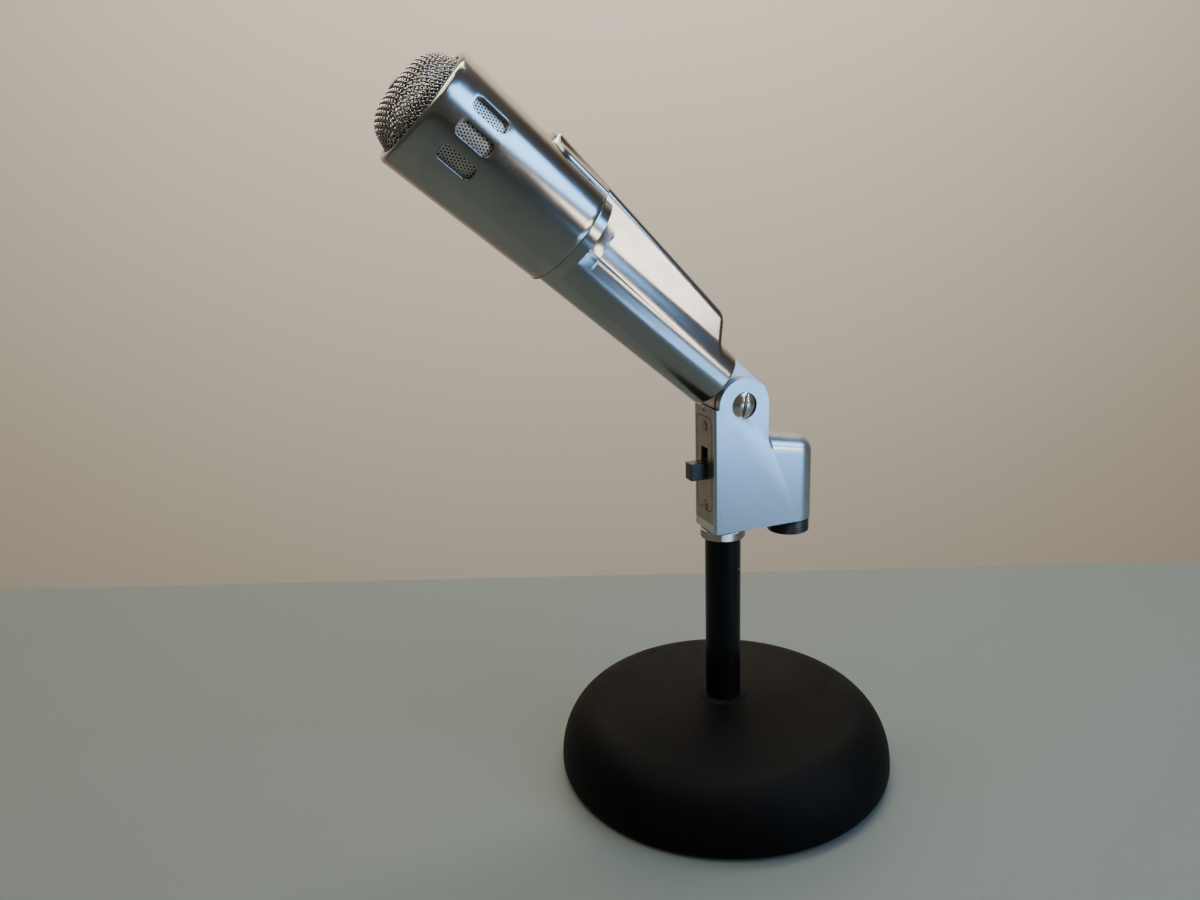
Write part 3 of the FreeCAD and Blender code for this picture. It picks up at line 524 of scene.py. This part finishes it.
def headShell():
    rear, front = head["rear"] + head["rearRound"], head["front"] - head["lipRound"]
    scale = headRadius(150 * mm)
    angles = [side * math.radians(a) for a in head["windowAngles"] for side in (-1, 1)]
    flat = []
    chains = []
    fences = [windowLoop(a, head["edge"]) for a in angles]
    for fence in fences:
        chains.append((len(flat), len(fence)))
        flat += [(a * scale, s) for a, s in fence]
    columns, levels = 192, 34
    step = 2 * math.pi / columns
    windowMiddle = head["windowStart"] + head["windowLength"] / 2
    for i in range(levels + 1):
        s = rear + (front - rear) * i / levels
        beside = abs(s - windowMiddle) < head["windowLength"] / 2 + 1.0 * mm
        for j in range(columns + 1):
            a = -math.pi + j * step
            near = any(abs(a - w) < (head["windowWidth"] / 2 + 1.0 * mm) / scale for w in angles)
            if not (beside and near):
                flat.append((a * scale, s))
    edges = [(start + k, start + (k + 1) % count) for start, count in chains for k in range(count)]
    points, _, triangles, _, _, _ = delaunay_2d_cdt([Vector(p) for p in flat], edges, [], 0, 0.00001 * mm)
    kept = []
    for triangle in triangles:
        middle = sum((points[k] for k in triangle), Vector((0, 0))) / 3
        if not any(insideLoop(middle, fence, scale) for fence in fences):
            kept.append(tuple(triangle))
    spots = []
    faces = []

    def place(a, s, radius):
        spots.append((radius * math.sin(a), handle["headLevel"] + radius * math.cos(a), s))
        return len(spots) - 1

    outside = [place(p.x / scale, p.y, headRadius(p.y)) for p in points]
    inside = [place(p.x / scale, p.y, headRadius(p.y) - head["wall"]) for p in points]
    for triangle in kept:
        faces.append(tuple(outside[k] for k in triangle))
        faces.append(tuple(inside[k] for k in reversed(triangle)))
    # rounded window edges, then straight through the wall
    for a, fence in zip(angles, fences):
        rings = [[place(x, s, headRadius(s)) for x, s in fence]]
        for t in (22.5, 45, 67.5, 90):
            grow = head["edge"] * (1 - math.sin(math.radians(t)))
            sink = head["edge"] * (1 - math.cos(math.radians(t)))
            rings.append([place(x, s, headRadius(s) - sink) for x, s in windowLoop(a, grow)])
        rings.append([place(x, s, headRadius(s) - head["wall"]) for x, s in windowLoop(a, 0)])
        rings.append([place(x, s, headRadius(s) - head["wall"]) for x, s in fence])
        for one, two in zip(rings, rings[1:]):
            faces += ringFaces(one, two)
    # lip at the front and the rear edge, turned about the head axis
    lip = []
    for t in range(7):
        a, bend = math.radians(15 * t), head["lipRound"]
        lip.append((headRadius(front) - bend * (1 - math.cos(a)), front + bend * math.sin(a)))
    lip += [(head["lip"] + 0.25 * mm, head["front"]), (head["lip"] + 0.07 * mm, head["front"] - 0.07 * mm),
            (head["lip"], head["front"] - 0.25 * mm), (head["lip"], head["front"] - head["lipDepth"]),
            (headRadius(front) - head["wall"], head["front"] - head["lipDepth"]),
            (headRadius(front) - head["wall"], front)]
    tail = [(headRadius(rear) - head["wall"], rear), (headRadius(rear) - head["wall"], head["rear"]),
            (headRadius(rear) - head["rearRound"], head["rear"]),
            (headRadius(rear) - 0.09 * mm, head["rear"] + 0.09 * mm), (headRadius(rear), rear)]
    for outline in (lip, tail):
        ring = [[place(-math.pi + j * step, s, r) for j in range(columns)] for r, s in outline]
        for one, two in zip(ring, ring[1:]):
            faces += ringFaces(one, two)
    mesh = closedMesh("headShell", spots, faces)
    mesh.transform(micPlace)
    mesh.set_sharp_from_angle(angle=math.radians(40))
    addPiece("headShell", mesh, "head_shell")


def insideLoop(point, loop, scale):
    hit = False
    count = len(loop)
    for k in range(count):
        ax, ay = loop[k][0] * scale, loop[k][1]
        bx, by = loop[(k + 1) % count][0] * scale, loop[(k + 1) % count][1]
        if (ay > point.y) != (by > point.y) and point.x < (bx - ax) * (point.y - ay) / (by - ay) + ax:
            hit = not hit
    return hit


bodyCasting()
headShell()
print("casting and head made")


# Geometry Nodes: woven dome, perforated screens, knurled and threaded sleeves

class Geo(Tree):
    # a node group for a modifier: named inputs with defaults, one geometry output

    def __init__(self, name, inputs):
        group = bpy.data.node_groups.new(name, "GeometryNodeTree")
        super().__init__(group)
        group.interface.new_socket("Geometry", in_out="OUTPUT", socket_type="NodeSocketGeometry")
        for label, value in inputs.items():
            kinds = {int: "NodeSocketInt", float: "NodeSocketFloat", bpy.types.Material: "NodeSocketMaterial",
                     bpy.types.Object: "NodeSocketObject"}
            kind = next(k for t, k in kinds.items() if isinstance(value, t))
            group.interface.new_socket(label, in_out="INPUT", socket_type=kind)
        self.values = inputs
        self.source = group.nodes.new("NodeGroupInput")
        self.end = group.nodes.new("NodeGroupOutput")

    def __getitem__(self, label):
        return Pin(self, self.source.outputs[label])

    def xyz(self, x=0.0, y=0.0, z=0.0):
        return self.add("ShaderNodeCombineXYZ", None, {0: x, 1: y, 2: z})

    def made(self, geometry, name):
        # real mesh with its material, then taken off the modifier
        real = self.add("GeometryNodeRealizeInstances", None, {0: geometry})
        coated = self.add("GeometryNodeSetMaterial", None, {0: real, "Material": self["Finish"]})
        self.link(coated, self.end.inputs[0])
        holder = bpy.data.objects.new(name + "Holder", bpy.data.meshes.new(name + "Holder"))
        bpy.context.scene.collection.objects.link(holder)
        modifier = holder.modifiers.new(name, "NODES")
        modifier.node_group = self.tree
        for item in self.tree.interface.items_tree:
            if item.in_out == "INPUT":
                modifier[item.identifier] = self.values[item.name]
        graph = bpy.context.evaluated_depsgraph_get()
        mesh = bpy.data.meshes.new_from_object(holder.evaluated_get(graph), depsgraph=graph)
        holder.modifiers.clear()
        bpy.data.objects.remove(holder)
        mesh.name = name
        return mesh


weave = {
    "pitch": 1.5 * mm, "wire": 0.27 * mm, "wave": 0.27 * mm, "wires": 41, "sides": 6, "pointsPerPitch": 4,
    "turn": math.radians(45),
    # the dome's outline, as radius and place on the axis in millimetres
    "profile": ((0, 185.5), (4.5, 185.4), (9.0, 184.9), (12.5, 184.1), (15.6, 182.4),
                (17.6, 180.2), (18.9, 177.4), (19.9, 174.6), (20.6, 172.3)),
}


def wovenDome():
    w = weave
    route = bpy.data.curves.new("domeProfile", "CURVE")
    route.dimensions = "3D"
    spline = route.splines.new("NURBS")
    spline.points.add(len(w["profile"]) - 1)
    for point, (r, s) in zip(spline.points, w["profile"]):
        point.co = (r * mm, 0, s * mm, 1)
    spline.order_u = 3
    spline.use_endpoint_u = True
    spline.resolution_u = 12
    holder = bpy.data.objects.new("domeProfile", route)
    bpy.context.scene.collection.objects.link(holder)
    reach = sum(math.dist(a, b) for a, b in zip(w["profile"], w["profile"][1:])) * mm * 0.985
    g = Geo("wovenDome", {"Pitch": w["pitch"], "Wire Radius": w["wire"], "Wave": w["wave"], "Wires": w["wires"],
                          "Points": w["wires"] * w["pointsPerPitch"], "Sides": w["sides"], "Reach": reach,
                          "Profile": holder, "Finish": finishes["wire_mesh"]})
    profile = g.add("GeometryNodeObjectInfo", None, {0: g["Profile"]}, out="Geometry")
    half = g["Pitch"] * g["Wires"] / 2
    rows = g.add("GeometryNodeMeshLine", {"mode": "OFFSET", "count_mode": "TOTAL"}, {
        "Count": g["Wires"], "Start Location": g.xyz(0.0, g["Pitch"] / 2 - half),
        "Offset": g.xyz(0.0, g["Pitch"])})
    row = g.add("GeometryNodeCurvePrimitiveLine", None, {"Start": g.xyz(0.0 - half), "End": g.xyz(half)})
    row = g.add("GeometryNodeResampleCurve", None, {"Curve": row, "Count": g["Points"]})
    laid = g.add("GeometryNodeInstanceOnPoints", None, {"Points": rows, "Instance": row})
    family = g.add("GeometryNodeRealizeInstances", None, {0: laid})
    spot = g.add("GeometryNodeInputPosition")
    parts = g.add("ShaderNodeSeparateXYZ", None, {0: spot})
    along, across = parts.at("X"), parts.at("Y")
    # each wire goes over one and under the next, and its neighbour does the opposite
    number = ((across + half) / g["Pitch"]).calc("FLOOR")
    wave = ((along + half) / g["Pitch"] * math.pi + number * math.pi).calc("SINE") * g["Wave"]
    first = g.add("GeometryNodeSetPosition", None, {0: family, "Offset": g.xyz(0.0, 0.0, wave)})
    second = g.add("GeometryNodeSetPosition", None, {0: family, "Offset": g.xyz(0.0, 0.0, 0.0 - wave)})
    second = g.add("GeometryNodeTransform", None, {0: second, "Rotation": (0, 0, math.radians(90))})
    both = g.add("GeometryNodeJoinGeometry")
    g.link(second, both.socket.node.inputs[0])
    g.link(first, both.socket.node.inputs[0])
    turned = g.add("GeometryNodeTransform", None, {0: both, "Rotation": (0, 0, w["turn"])})
    # flat sheet to dome: distance from the centre runs along the profile
    level = g.xyz(parts.at("X"), parts.at("Y"))
    out = g.add("ShaderNodeVectorMath", {"operation": "LENGTH"}, {0: level}, out="Value")
    beyond = out.over(g["Reach"])
    cut = g.add("GeometryNodeDeleteGeometry", {"domain": "POINT"}, {0: turned, "Selection": beyond})
    where = {"Curves": profile, "Length": out}
    sample = g.add("GeometryNodeSampleCurve", {"mode": "LENGTH"}, where, out="Position")
    tangent = Pin(g, sample.socket.node.outputs["Tangent"])
    there = g.add("ShaderNodeSeparateXYZ", None, {0: sample})
    way = g.add("ShaderNodeSeparateXYZ", None, {0: tangent})
    lift = parts.at("Z")
    radial = (there.at("X") - way.at("Z") * lift) / (out.calc("MAXIMUM", 0.00001))
    height = there.at("Z") + way.at("X") * lift
    domed = g.add("GeometryNodeSetPosition", None, {
        0: cut, "Position": g.xyz(parts.at("X") * radial, parts.at("Y") * radial, height)})
    section = {"Resolution": g["Sides"], "Radius": g["Wire Radius"]}
    circle = g.add("GeometryNodeCurvePrimitiveCircle", None, section)
    wires = g.add("GeometryNodeCurveToMesh", None, {"Curve": domed, "Profile Curve": circle, "Fill Caps": True})
    smooth = g.add("GeometryNodeSetShadeSmooth", None, {0: wires})
    mesh = g.made(smooth, "wovenDome")
    bpy.data.objects.remove(holder)
    mesh.transform(micPlace @ Matrix.Translation((0, handle["headLevel"], 0)))
    addPiece("wovenDome", mesh, "grille_mesh")
    print("woven dome:", len(mesh.polygons), "faces")


screen = {"pitch": 1.25 * mm, "hole": 0.41 * mm, "gauge": 0.25 * mm, "angle": 91.0, "halfSpread": 36.0,
          "middle": 156 * mm, "length": 22.5 * mm}


def screenCell():
    # one hexagonal cell of sheet with its hole, both faces and the hole's wall
    outer = [(math.sin(math.radians(60 * k)), math.cos(math.radians(60 * k))) for k in range(6)]
    reach, hole, back = screen["pitch"] / math.sqrt(3), screen["hole"], -screen["gauge"]
    points = []
    for depth, radius in ((0, reach), (0, hole), (back, hole), (back, reach)):
        points += [(radius * x, radius * y, depth) for x, y in outer]
    faces = gridFaces(4, 6, flip=True)
    mesh = bpy.data.meshes.new("screenCell")
    mesh.from_pydata(points, [], faces)
    cell = bpy.data.objects.new("screenCell", mesh)
    bpy.context.scene.collection.objects.link(cell)
    return cell


def perforatedScreens():
    cell = screenCell()
    radius = headRadius(screen["middle"]) - head["wall"] - 0.05 * mm
    spread = 2 * math.radians(screen["halfSpread"]) * radius
    columns = int(spread / screen["pitch"])
    rows = int(screen["length"] / (screen["pitch"] * math.sqrt(3) / 2))
    meshes = []
    for side in (-1, 1):
        g = Geo("perforatedScreen", {"Pitch": screen["pitch"], "Columns": columns, "Rows": rows,
                                     "Radius": radius, "Taper": handle["headTaper"], "Side": float(side),
                                     "Angle": math.radians(screen["angle"]),
                                     "Cell": cell, "Finish": finishes["perforated_sheet"]})
        rowStep = g["Pitch"] * (math.sqrt(3) / 2)
        plain = g.add("GeometryNodeMeshGrid", None, {
            "Vertices X": g["Columns"], "Vertices Y": g["Rows"],
            "Size X": (g["Columns"] - 1) * g["Pitch"], "Size Y": (g["Rows"] - 1) * rowStep})
        spot = g.add("ShaderNodeSeparateXYZ", None, {0: g.add("GeometryNodeInputPosition")})
        line = (spot.at("Y") / rowStep + 500.25).calc("FLOOR")
        odd = line.calc("MODULO", 2.0) * g["Pitch"] * 0.5
        shifted = g.add("GeometryNodeSetPosition", None, {0: plain, "Offset": g.xyz(odd)})
        info = g.add("GeometryNodeObjectInfo", None, {0: g["Cell"]}, out="Geometry")
        cells = g.add("GeometryNodeInstanceOnPoints", None, {"Points": shifted, "Instance": info})
        sheet = g.add("GeometryNodeRealizeInstances", None, {0: cells})
        joined = g.add("GeometryNodeMergeByDistance", None, {0: sheet, "Distance": 0.02 * mm})
        level = spot.at("Y")
        turn = (spot.at("X") / g["Radius"] + g["Angle"]) * g["Side"]
        out = g["Radius"] + level * g["Taper"] + spot.at("Z")
        bent = g.add("GeometryNodeSetPosition", None, {
            0: joined, "Position": g.xyz(turn.calc("SINE") * out, turn.calc("COSINE") * out, level)})
        mesh = g.made(bent, "perforatedScreen")
        mesh.transform(micPlace @ Matrix.Translation((0, handle["headLevel"], screen["middle"])))
        if side > 0:
            mesh.flip_normals()
        meshes.append(mesh)
    bpy.data.objects.remove(cell)
    both = joinedMesh(bpy.data.meshes.new("perforatedScreens"), meshes)
    print("screens:", len(both.polygons), "faces")
    addPiece("perforatedScreens", both, "window_screen")


def ridgedSleeve(name, node, look, bottom, top, centre):
    # a turned sleeve whose outside carries slanted ridges: many make a knurl, a single one a thread
    inner = look["inner"]
    g = Geo(name, {"Radius": look["radius"], "Bottom": bottom, "Height": top - bottom, "Bend": look["bend"],
                   "Ridges": float(look["ridges"]), "Lean": look["lean"], "Depth": look["depth"],
                   "Columns": look["columns"] + 1, "Rows": look["rows"], "Finish": finishes[slotOf[node]]})
    plain = g.add("GeometryNodeMeshGrid", None, {
        "Vertices X": g["Columns"], "Vertices Y": g["Rows"], "Size X": 1.0, "Size Y": 1.0})
    spot = g.add("ShaderNodeSeparateXYZ", None, {0: g.add("GeometryNodeInputPosition")})
    turn = (spot.at("X") + 0.5) * (2 * math.pi)
    level = (spot.at("Y") + 0.5) * g["Height"]
    edge = level.calc("MINIMUM", g["Height"] - level)
    near = (1 - edge / g["Bend"]).calc("MAXIMUM", 0.0)
    drop = (1 - (1 - near * near).calc("MAXIMUM", 0.0).calc("SQRT")) * g["Bend"]
    ridge = (turn * g["Ridges"] + level * g["Lean"]).calc("SINE").calc("ABSOLUTE")
    out = g["Radius"] - drop - (1 - ridge) * g["Depth"] * (1 - near)
    wrapped = g.add("GeometryNodeSetPosition", None, {
        0: plain, "Position": g.xyz(turn.calc("COSINE") * out, turn.calc("SINE") * out, level + g["Bottom"])})
    joined = g.add("GeometryNodeMergeByDistance", None, {0: wrapped, "Distance": 0.001 * mm})
    smooth = g.add("GeometryNodeSetShadeSmooth", None, {0: joined})
    mesh = g.made(smooth, name)
    # close it with its two flat ends and its bore
    bm = bmesh.new()
    bm.from_mesh(mesh)
    rims = [e for e in bm.edges if e.is_boundary]
    levels = {}
    for e in rims:
        levels.setdefault(e.verts[0].co.z > (bottom + top) / 2, []).append(e)
    loops = []
    for upper, edges in levels.items():
        made = bmesh.ops.extrude_edge_only(bm, edges=edges)["geom"]
        verts = [v for v in made if isinstance(v, bmesh.types.BMVert)]
        for v in verts:
            flat = Vector((v.co.x, v.co.y, 0)).normalized() * inner
            v.co = Vector((flat.x, flat.y, top if upper else bottom))
        loops += [e for e in made if isinstance(e, bmesh.types.BMEdge)]
    bmesh.ops.bridge_loops(bm, edges=[e for e in loops if e.is_boundary])
    bmesh.ops.recalc_face_normals(bm, faces=bm.faces)
    bm.to_mesh(mesh)
    bm.free()
    mesh.transform(Matrix.Translation(centre))
    mesh.set_sharp_from_angle(angle=math.radians(50))
    return mesh


ring = {"radius": 10.0 * mm, "inner": 7.68 * mm, "ridges": 28, "lean": 4200.0, "depth": 0.28 * mm,
        "bend": 0.5 * mm, "columns": 448, "rows": 40}
thread = {"radius": 9.4 * mm, "inner": 8.0 * mm, "ridges": 0, "lean": math.pi / (0.9 * mm), "depth": 0.32 * mm,
          "bend": 0.4 * mm, "columns": 96, "rows": 96}
neck = {"radius": 9.0 * mm, "inner": 8.0 * mm, "throat": 6.6 * mm, "chamfer": 0.3 * mm, "rim": 1 * mm,
        "segments": 96}


def knurledRing():
    low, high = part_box("lock_ring")
    mesh = ridgedSleeve("knurledRing", "lock_ring", ring, low[2], high[2], (0, 0, 0))
    addPiece("knurledRing", mesh, "lock_ring")


def threadedShell():
    low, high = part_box("connector_shell")
    bottom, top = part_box("swivel_block")[0][2], high[2]
    centre = ((low[0] + high[0]) / 2, (low[1] + high[1]) / 2, 0)
    mesh = ridgedSleeve("threadedShell", "connector_shell", thread, low[2], bottom, centre)
    # the plain neck inside the barrel
    count, chamfer, rim = neck["segments"], neck["chamfer"], neck["rim"]
    outline = [(neck["radius"], bottom), (neck["radius"], top - chamfer), (neck["radius"] - chamfer, top),
               (neck["throat"], top), (neck["throat"], top - rim), (neck["inner"], top - rim),
               (neck["inner"], bottom)]
    points, faces = lathe(outline, count)
    faces += ringFaces(range(len(points) - count, len(points)), range(count))
    plain = closedMesh("shellNeck", points, faces)
    plain.transform(Matrix.Translation(centre))
    joinedMesh(mesh, [plain])
    mesh.set_sharp_from_angle(angle=math.radians(50))
    addPiece("threadedShell", mesh, "connector_shell")


wovenDome()
perforatedScreens()
knurledRing()
threadedShell()
print("repeating pieces made")


# slotted oval heads on both sides of the pivot

ovalHead = {
    "radius": 5.6 * mm, "rim": 0.7 * mm, "dome": 1.55 * mm, "edge": 0.18 * mm, "pole": 0.02 * mm,
    "segments": 96, "slotWidth": 1.7 * mm, "slotFloor": 0.35 * mm, "slotEdge": 0.12 * mm,
    "seat": 8.4 * mm, "shank": 2.6 * mm, "shankEnd": -6.0 * mm, "shankEdge": 0.3 * mm, "shankSegments": 48,
}


def turnedMesh(name, profile, segments):
    # a solid of revolution whose ends are closed with flat discs
    points, faces = lathe(profile, segments)
    faces += [tuple(range(segments)), tuple(range(len(points) - segments, len(points)))]
    return closedMesh(name, points, faces)


def slottedHead(name, node, side, angle):
    h = ovalHead
    ball = (h["radius"] ** 2 + h["dome"] ** 2) / (2 * h["dome"])
    top = h["rim"] + h["dome"]
    profile = [(h["pole"], 0.0), (h["radius"] - h["edge"], 0.0), (h["radius"], h["edge"]),
               (h["radius"], h["rim"] - h["edge"])]
    widest = math.asin((h["radius"] - h["edge"]) / ball)
    profile += [(ball * math.sin(a), top - ball + ball * math.cos(a)) for a in np.linspace(widest, 0.004, 14)]
    solid = bpy.data.objects.new(name, turnedMesh(name, profile, h["segments"]))
    reach = 2 * h["radius"]
    half = h["slotWidth"] / 2
    corners = [(x, y, z) for x in (-half, half) for y in (-reach, reach) for z in (h["slotFloor"], 3 * top)]
    sides = [(0, 1, 3, 2), (4, 6, 7, 5), (0, 4, 5, 1), (2, 3, 7, 6), (0, 2, 6, 4), (1, 5, 7, 3)]
    cutter = bpy.data.objects.new("slotCutter", closedMesh("slotCutter", corners, sides, False))
    for item in (solid, cutter):
        bpy.context.scene.collection.objects.link(item)
    cut = solid.modifiers.new("slot", "BOOLEAN")
    cut.operation = "DIFFERENCE"
    cut.solver = "EXACT"
    cut.object = cutter
    softenEdges(solid, h["slotEdge"], 2, 50)
    graph = bpy.context.evaluated_depsgraph_get()
    mesh = bpy.data.meshes.new_from_object(solid.evaluated_get(graph), depsgraph=graph)
    for item in (solid, cutter):
        bpy.data.objects.remove(item)
    mesh.name = name
    lean = Matrix.Rotation(math.radians(angle), 4, "Z")
    out = Matrix.Translation((side * h["seat"], *pivot[1:])) @ Matrix.Rotation(side * math.radians(90), 4, "Y")
    mesh.transform(out @ lean)
    if side > 0:
        # its plain shank through both ears
        profile = [(h["pole"], h["shankEnd"]), (h["shank"] - h["shankEdge"], h["shankEnd"]),
                   (h["shank"], h["shankEnd"] + h["shankEdge"]), (h["shank"], h["seat"]),
                   (h["pole"], h["seat"])]
        rod = turnedMesh("pivotShank", profile, h["shankSegments"])
        rod.transform(Matrix.Translation((0, *pivot[1:])) @ Matrix.Rotation(math.radians(90), 4, "Y"))
        joinedMesh(mesh, [rod])
    mesh.shade_smooth()
    mesh.set_sharp_from_angle(angle=math.radians(35))
    addPiece(name, mesh, node)


slottedHead("pivotScrewHead", "pivot_screw", 1, 78)
slottedHead("pivotNutHead", "pivot_nut", -1, 65)


# small CAD parts given softened edges, so that they catch the light

softened = {
    "switch_knob": (0.35 * mm, 3), "switch_plate": (0.10 * mm, 2), "plate_screws": (0.12 * mm, 2),
    "swivel_block": (0.45 * mm, 3), "pivot_lug": (0.35 * mm, 2), "connector_insulator": (0.1 * mm, 1),
    "grille_button": (0.12 * mm, 2), "tube_nut": (0.3 * mm, 2), "connector_setscrew": (0.15 * mm, 1),
    "base_pad": (0.4 * mm, 2), "stand_tube": (0.2 * mm, 2),
}


def softenedCopy(node, width, segments):
    mesh = nodes[node].data.copy()
    mesh.name = node + "Soft"
    bm = bmesh.new()
    bm.from_mesh(mesh)
    bmesh.ops.remove_doubles(bm, verts=bm.verts, dist=0.004 * mm)
    bmesh.ops.dissolve_degenerate(bm, edges=bm.edges, dist=0.004 * mm)
    flat = [e for e in bm.edges if len(e.link_faces) == 2 and e.calc_face_angle(0) < math.radians(0.4)]
    bmesh.ops.dissolve_edges(bm, edges=flat, use_verts=False, use_face_split=False)
    bm.normal_update()
    bm.to_mesh(mesh)
    bm.free()
    mesh.shade_smooth()
    mesh.set_sharp_from_angle(angle=math.radians(35))
    piece = addPiece(node + "Soft", mesh, node)
    soften = softenEdges(piece, width, segments, 40)
    soften.use_clamp_overlap = True
    soften.harden_normals = True
    soften.miter_outer = "MITER_ARC"


for node, (width, segments) in softened.items():
    softenedCopy(node, width, segments)
print("small pieces softened")


# surroundings

studio = {
    "tableTone": (0.127, 0.151, 0.134),
    "tableEdge": -0.22,          # rear edge of the table, behind the stand
    "tableDepth": 0.03,
    "tableTurn": math.radians(-22),
    "wallTone": (0.80, 0.70, 0.56),
    "wallPlace": -1.3,           # far enough back for a look at the object from behind
    "worldTone": (0.30, 0.275, 0.24),
    "worldLight": 0.42,
    "lens": 29.13,
    "cameraPlace": (0.3639, -0.1886, 0.2686),
    "right": (0.3407, 0.9402, 0.0),
    "up": (-0.2556, 0.0926, 0.9623),
    "roll": math.radians(-2.16),
}


def stagePiece(name, points, faces, f):
    mesh = bpy.data.meshes.new(name)
    mesh.from_pydata(points, [], faces)
    mesh.materials.append(f.material)
    piece = bpy.data.objects.new(name, mesh)
    piece.matrix_world = Matrix.Rotation(studio["tableTurn"], 4, "Z")
    bpy.context.scene.collection.objects.link(piece)


def makeTable():
    edge, half, deep = studio["tableEdge"], 2.6, studio["tableDepth"]
    outline = [(edge, -half), (half, -half), (half, half), (edge, half)]
    points = [(x, y, z) for z in (0, -deep) for x, y in outline]
    sides = [(i, i + 4, (i + 1) % 4 + 4, (i + 1) % 4) for i in range(4)]
    f = Finish("tablePaint", {"Specular IOR Level": 0.35})
    cloud = f.noise(0.4, 3.0)
    f.set("Base Color", f.mix(cloud, studio["tableTone"], tuple(1.04 * c for c in studio["tableTone"])))
    f.set("Roughness", 0.48 + cloud * 0.06)
    stagePiece("table", points, [(0, 1, 2, 3), (7, 6, 5, 4), *sides], f)


def makeWall():
    near, half, low, high = studio["wallPlace"], 3.4, -1.6, 2.6
    points = [(near, -half, low), (near, half, low), (near, half, high), (near, -half, high)]
    f = Finish("wallPaint", {"Roughness": 0.85})
    cloud = f.noise(0.5, 4.0)
    f.set("Base Color", f.mix(cloud, studio["wallTone"], tuple(0.95 * c for c in studio["wallTone"])))
    stagePiece("wall", points, [(0, 1, 2, 3)], f)


def areaLight(name, place, aim, size, power, tone=(1, 1, 1)):
    light = bpy.data.lights.new(name, "AREA")
    light.shape = "RECTANGLE"
    light.size, light.size_y = size
    light.energy = power
    light.color = tone
    lamp = bpy.data.objects.new(name, light)
    lamp.visible_camera = False
    lamp.matrix_world = Matrix.LocRotScale(
        Vector(place), (Vector(aim) - Vector(place)).to_track_quat("-Z", "Y"), None)
    bpy.context.scene.collection.objects.link(lamp)


def makeLights():
    world = bpy.data.worlds.new("studioWorld")
    bpy.context.scene.world = world
    world.use_nodes = True
    background = world.node_tree.nodes["Background"]
    background.inputs["Color"].default_value = (*studio["worldTone"], 1)
    background.inputs["Strength"].default_value = studio["worldLight"]
    areaLight("warmWindow", (0.62, 0.45, 0.31), (0, -0.03, 0.22), (0.26, 0.16), 1.3, (1.0, 0.88, 0.74))
    areaLight("coolWindow", (0.48, 0.45, 0.61), (0, -0.05, 0.25), (0.46, 0.26), 4.0, (0.24, 0.54, 1.0))
    areaLight("lowWindow", (0.46, 0.27, 0.075), (0, 0.01, 0.15), (0.36, 0.12), 0.66, (0.27, 0.56, 1.0))
    areaLight("wallLight", (-0.35, 0.1, 1.5), (-1.4, 0.1, -0.1), (1.8, 0.5), 32.0, (1.0, 0.95, 0.88))
    areaLight("topLight", (0.25, -0.45, 1.7), (-0.1, 0, 0.1), (1.6, 1.0), 17.0, (1.0, 0.91, 0.80))


def makeCamera():
    right = Vector(studio["right"]).normalized()
    up = Vector(studio["up"]).normalized()
    back = right.cross(up)
    camera = bpy.data.cameras.new("camera")
    camera.lens = studio["lens"]
    camera.sensor_width = 36.0
    camera.clip_start = 0.01
    eye = bpy.data.objects.new("camera", camera)
    turned = Matrix.Rotation(studio["roll"], 3, back)
    axes = Matrix((turned @ right, turned @ up, back)).transposed()
    eye.matrix_world = Matrix.Translation(studio["cameraPlace"]) @ axes.to_4x4()
    bpy.context.scene.collection.objects.link(eye)
    bpy.context.scene.camera = eye


makeTable()
makeWall()
makeLights()
makeCamera()
print("studio ready")
